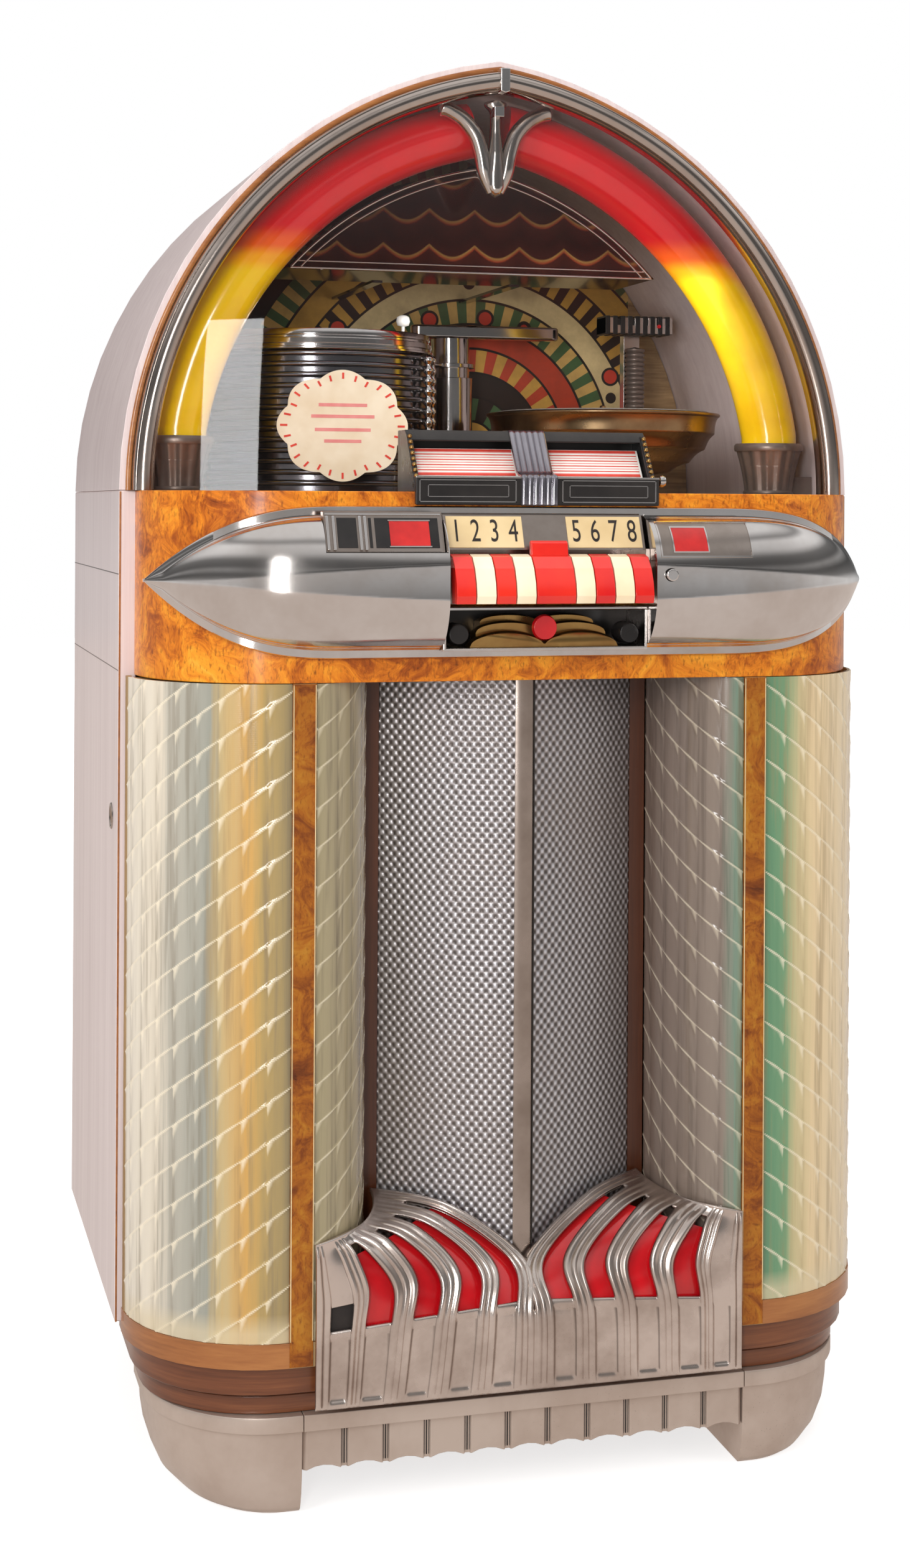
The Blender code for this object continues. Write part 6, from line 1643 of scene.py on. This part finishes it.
def makeOrnament():
    # A column with a flared head, and two horns that rise beside it and turn outwards to rounded ends
    low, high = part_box("apex_ornament")
    middleY, crown, size = -0.1087, 1.3955, 0.85
    z = np.array([0.0, 0.0012, 0.004, 0.0075, 0.011, 0.016, 0.04, 0.07, 0.09, 0.105, 0.115, 0.118])
    half = np.array([0.0085, 0.0112, 0.0116, 0.0102, 0.0068, 0.0054, 0.0058, 0.0078, 0.0098, 0.0096,
                     0.005, 0.001])
    drop = np.linspace(0, 0.118, 70)
    profile = np.interp(drop, z, half) * 1.08
    drop = drop * size
    turn = np.arange(40) * 2 * pi / 40
    rings = np.stack([profile[:, None] * np.cos(turn),
                      middleY + np.minimum(0.0088, profile * 1.1)[:, None] * np.sin(turn),
                      np.repeat((crown - drop)[:, None], 40, 1)], -1)
    shapes = [skin(rings, closeColumns=True, caps=True)]
    path = [(0.004, 0.112), (0.0108, 0.09), (0.0148, 0.064), (0.0212, 0.041), (0.0335, 0.0235),
            (0.0485, 0.0128), (0.0592, 0.0092)]
    curve = splineThrough([(x * 1.04, crown - away * size) for x, away in path], 12)
    share = np.linspace(0, 1, len(curve))
    width = np.interp(share, [0, 0.2, 0.5, 0.8, 0.93, 1], [0.0052, 0.0082, 0.0084, 0.008, 0.0092, 0.0092])
    width = width * np.sqrt(np.clip(1 - np.clip((share - 0.93) / 0.07, 0, 1) ** 2, 0.002, 1))
    along = np.gradient(curve, axis=0)
    along /= np.linalg.norm(along, axis=1, keepdims=True)
    across = np.column_stack([along[:, 1], -along[:, 0]])
    ring = curve[:, None] + width[:, None, None] * across[:, None] * np.cos(turn)[None, :, None]
    depth = middleY + np.minimum(0.009, width * 0.95)[:, None] * np.sin(turn)[None, :]
    for side in (-1, 1):
        shapes.append(skin(np.stack([side * ring[..., 0], depth, ring[..., 1]], -1), closeColumns=True,
                           caps=True))
    stem = prism([(-0.0055, crown - 0.018), (0.0055, crown - 0.018), (0.0055, high.z - 0.0005),
                  (-0.0055, high.z - 0.0005)], low.y + 0.001, middleY, "y")
    addPiece("apex_ornament_leaves", joined(*shapes), looks["ornamentMetal"], "lid",
             ("apex_ornament",), sharp=50)
    addPiece("apex_ornament_stem", stem, looks["chrome"], "lid", bevel=0.001)


def makeHoodEdges():
    # The tinted hood, with bright beads round its front arch and along its lower edge
    addPiece("header_hood", refined("header_canopy"), looks["smoky"], "lid",
             ("header_canopy",), sharp=35)
    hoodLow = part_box("header_canopy")[0]
    beads = []
    for inset, size in ((0.0985, 0.0016), (0.106, 0.0011)):
        right = archLine(inset, 40, hoodLow.z - seam + 0.0025)
        line = np.concatenate([right, right[-2::-1] * (-1, 1)])
        beads.append(tube(np.column_stack([line[:, 0], np.full(len(line), hoodLow.y - 0.0006), line[:, 1]]),
                          size, 10))
    for lift, size in ((0.0016, 0.0014), (0.009, 0.0009)):
        ends = archLine(0.0985, 2, hoodLow.z - seam + lift)[0, 0]
        beads.append(tube([(-ends, hoodLow.y - 0.0006, hoodLow.z + lift),
                           (0, hoodLow.y - 0.0006, hoodLow.z + lift),
                           (ends, hoodLow.y - 0.0006, hoodLow.z + lift)], size, 10))
    addPiece("header_hood_beads", joined(*beads), looks["chrome"], "lid", sharp=60)


addPiece("lid_shell_veneer", refined("lid_shell"), looks["veneer"], "lid", ("lid_shell",),
         bevel=0.0006, sharp=38)
makeTrim()
makeWindshield()
makeTubes()
makeOrnament()
makeHoodEdges()
addPiece("backdrop_board", refined("backdrop_panel"), looks["backdrop"], "lid",
         ("backdrop_panel",), sharp=35)
print("dome done")


# Record changer

def makeChanger():
    # Each tray is one bead of a turned profile; the pickup's fins stand side by side
    low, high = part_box("tray_stack")
    centre = ((low.x + high.x) / 2, (low.y + high.y) / 2, 0)
    radius = (high.x - low.x) / 2
    trays = 16
    pitch = (high.z - low.z) / trays
    profile = [(0, low.z)]
    for index in range(trays):
        z = low.z + pitch * index
        profile += [(radius - 0.007, z + 0.0002), (radius - 0.007, z + pitch * 0.42),
                    (radius - 0.0014, z + pitch * 0.46),
                    (radius, z + pitch * 0.58), (radius, z + pitch * 0.8),
                    (radius - 0.0014, z + pitch * 0.94), (radius - 0.007, z + pitch * 0.98)]
    profile += [(0, high.z)]
    addPiece("tray_stack_rings", lathe(profile, centre, 128), looks["stackMetal"], "root",
             ("tray_stack",), sharp=50)
    # Two columns at the front of the pile, with a bead for each tray
    beads = []
    for angle, size in ((-0.62, 0.0058), (-0.47, 0.004)):
        x = centre[0] + (radius + size * 0.6) * cos(angle)
        y = centre[1] + (radius + size * 0.6) * sin(angle)
        line = [(0, low.z + 0.001)]
        for index in range(trays):
            z = low.z + pitch * index
            line += [(size * 0.55, z + pitch * 0.1), (size, z + pitch * 0.35), (size, z + pitch * 0.7),
                     (size * 0.55, z + pitch * 0.95)]
        line += [(0, high.z - 0.0005)]
        beads.append(lathe(line, (x, y, 0), 24))
    addPiece("stack_bead_columns", joined(*beads), looks["chrome"], "root", sharp=70)
    addPiece("play_tray_ring", refined("play_tray"), looks["chrome"], "play_tray", ("play_tray",),
             bevel=0.0007)
    rim = [(0.1185, 1.1405), (0.1185, 1.1585), (0.1198, 1.1598), (0.1238, 1.1598), (0.1246, 1.1585),
           (0.125, 1.1535),
           (0.1238, 1.1525), (0.1238, 1.1505), (0.1262, 1.1495), (0.127, 1.1445), (0.1258, 1.1435),
           (0.1258, 1.1405)]
    addPiece("play_tray_rim", lathe(rim, centre, 128), looks["chrome"], "play_tray", sharp=50)
    knob = lathe([(0, 1.1595), (0.0018, 1.1595), (0.0018, 1.1655), (0.0062, 1.1668), (0.0076, 1.171),
                  (0.0066, 1.1758), (0.0035, 1.1778), (0, 1.178)], (-0.0735, -0.0065, 0), 36)
    addPiece("play_tray_knob", knob, looks["white"], "play_tray", sharp=60)
    addPiece("changer_frame_body", refined("changer_frame"), looks["chrome"], "root",
             ("changer_frame",), bevel=0.0012, sharp=40)
    head = dict(x=(0.2195, 0.3045), y=(0.1742, 0.2088), z=(1.1780, 1.2003), fins=9)
    fins = []
    span = (head["x"][1] - head["x"][0]) / head["fins"]
    for index in range(head["fins"]):
        x = head["x"][0] + span * index
        fins.append(block((x, head["y"][0], head["z"][0]), (x + span * 0.62, head["y"][1], head["z"][1])))
    fins.append(block((head["x"][0], head["y"][0] + 0.002, head["z"][0] + 0.001),
                      (head["x"][1], head["y"][1], head["z"][1] - 0.003)))
    addPiece("pickup_head_fins", joined(*fins), looks["blackMetal"], "root", bevel=0.0006)
    addPiece("pickup_head_dot", lathe([(0, head["y"][0] - 0.0014), (0.0022, head["y"][0] - 0.001),
                                       (0.0026, head["y"][0] + 0.001),
                                       (0, head["y"][0] + 0.001)], (0.287, 0, 1.1885), 20, "y"),
             looks["lens"], "root")
    ribs = []
    for index in range(13):
        ribs += [(0.0098, 1.090 + index * 0.0056), (0.0118, 1.0915 + index * 0.0056),
                 (0.0118, 1.0942 + index * 0.0056)]
    addPiece("pickup_coil", lathe([(0, 1.089)] + ribs + [(0, 1.1645)], (0.262, 0.1905, 0), 40),
             looks["castDark"], "root", sharp=60)
    addPiece("tonearm_bar", refined("tonearm"), looks["chrome"], "tonearm", ("tonearm",),
             bevel=0.003, bevelSteps=3)
    # Turntable: ridges ride on a bowl, radius = sin, height = 1 - cos
    low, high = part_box("turntable")
    centre = ((low.x + high.x) / 2, (low.y + high.y) / 2, 0)
    top, bottom = high.z - 0.01, low.z
    share = np.linspace(0.02, 1, 90)
    bowl = np.column_stack([0.02 + (0.1285 - 0.02) * np.sin(share * pi / 2),
                            bottom + (top - 0.004 - bottom) * (1 - np.cos(share * pi / 2))])
    ridge = 0.0022 * np.abs(np.sin(share * pi * 6))
    bowl = bowl + np.column_stack([-ridge * 0.7, ridge])
    rim = [(0.1298, top - 0.0036), (0.131, top - 0.0026), (0.131, top - 0.001), (0.1302, top)]
    hub = [(0.0035, top), (0.0035, top + 0.0088), (0.002, top + 0.01), (0, top + 0.01)]
    profile = [(0, bottom), (0.02, bottom)] + bowl.tolist() + rim + hub
    addPiece("turntable_bowl", lathe(profile, centre, 128), looks["bronze"], "turntable",
             ("turntable",), sharp=55)
    mat = [(0.006, top + 0.0002), (0.118, top + 0.0002), (0.1195, top + 0.0012), (0.118, top + 0.0022)]
    mat += [(r, top + 0.0022 - 0.0004 * (i % 2)) for i,
            r in enumerate(np.linspace(0.11, 0.02, 24))] + [(0.006, top + 0.0022)]
    addPiece("turntable_mat", lathe(mat, centre, 96), looks["cone"], "turntable", sharp=50)


def makePriceCard():
    # A cloud outline: radius ripples round an ellipse; ticks stand round its edge
    y = -0.062
    left, top = fromPixel(445, 592, y)
    right, bottom = fromPixel(655, 775, y)
    centre = ((left + right) / 2, (top + bottom) / 2)
    half = ((right - left) / 2, (top - bottom) / 2)
    turn = np.linspace(0, 2 * pi, 180, endpoint=False)
    wave, lobes = 0.1, 4
    ripple = 1 - wave + wave * np.abs(np.cos(turn * lobes))
    outline = np.column_stack([centre[0] + half[0] * ripple * np.cos(turn),
                               centre[1] + half[1] * ripple * np.sin(turn)])
    addPiece("price_card", prism(outline, y, y + 0.0012, "y"), looks["paper"], "lid",
             bevel=0.0002)
    ticks = []
    for angle in np.linspace(0, 2 * pi, 28, endpoint=False):
        reach = 1 - wave + wave * abs(cos(angle * lobes))
        way = np.array([cos(angle) * half[0], sin(angle) * half[1]]) * reach
        across = np.array([-sin(angle), cos(angle)]) * 0.0011
        inner, outer = np.array(centre) + way * 0.84, np.array(centre) + way * 0.95
        ticks.append(prism([inner - across, outer - across, outer + across, inner + across], y - 0.0003,
                           y + 0.0004, "y"))
    addPiece("price_card_ticks", joined(*ticks), looks["inkRed"], "lid")
    # Four plain bars
    bars = [prism([(centre[0] - w, centre[1] + h), (centre[0] + w, centre[1] + h),
                   (centre[0] + w, centre[1] + h + 0.0035),
                   (centre[0] - w, centre[1] + h + 0.0035)], y - 0.0002, y + 0.0004, "y")
            for w, h in ((0.026, 0.02), (0.034, 0.008), (0.03, -0.006), (0.02, -0.018))]
    addPiece("price_card_bars", joined(*bars), looks["inkPink"], "lid")


makeChanger()
makePriceCard()
print("changer done")


# Small hardware and the nodes that keep their solids

def makeHardware():
    # Cover screws in two columns and the ring round the lock, all turned
    screw = dict(x=0.355, heights=(0.22, 0.48, 0.74), sides=20)
    head = [(0, wallRear - 0.0002), (0.0045, wallRear - 0.0002), (0.004, wallRear + 0.0012),
            (0, wallRear + 0.0018)]
    screws = [lathe(head, (side * screw["x"], 0, z), screw["sides"], "y")
              for side in (-1, 1) for z in screw["heights"]]
    addPiece("rear_cover_screws", joined(*screws), looks["brass"], "root", sharp=50)
    low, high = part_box("lock_cylinder")
    ring = lathe([(0.0098, -halfWidth), (0.0108, -halfWidth - 0.0012), (0.0128, -halfWidth - 0.0012),
                  (0.0136, -halfWidth)], (0, (low.y + high.y) / 2, low.z + 0.009), 40, "x")
    addPiece("lock_ring", ring, looks["chromeDull"], "root", sharp=50)


nodeLooks = dict(side_veneer="veneer", burl_veneer="burl", mahogany="mahogany", plywood="plywood",
                 cast_metal="cast",
                 chrome="chrome", grey_metal="greyMetal", brass="brass", red_plastic="keyRed",
                 cream_plastic="cream",
                 tube_plastic="tube", pilaster_plastic="quiltInner", colour_film="film",
                 clear_plastic="clear", grille_weave="grille", printed_board="backdrop", paper_cone="cone")


def dressNodes():
    # Every CAD node takes a material from its slot, also the ones that a piece stands for
    for row in frame["record"]["subparts"]:
        thing = nodes[row["node"]]
        look = looks[nodeLooks[row["material_slot"]]]
        if not thing.material_slots:
            thing.data.materials.append(look)
        for slot in thing.material_slots:
            slot.material = look


makeHardware()
dressNodes()
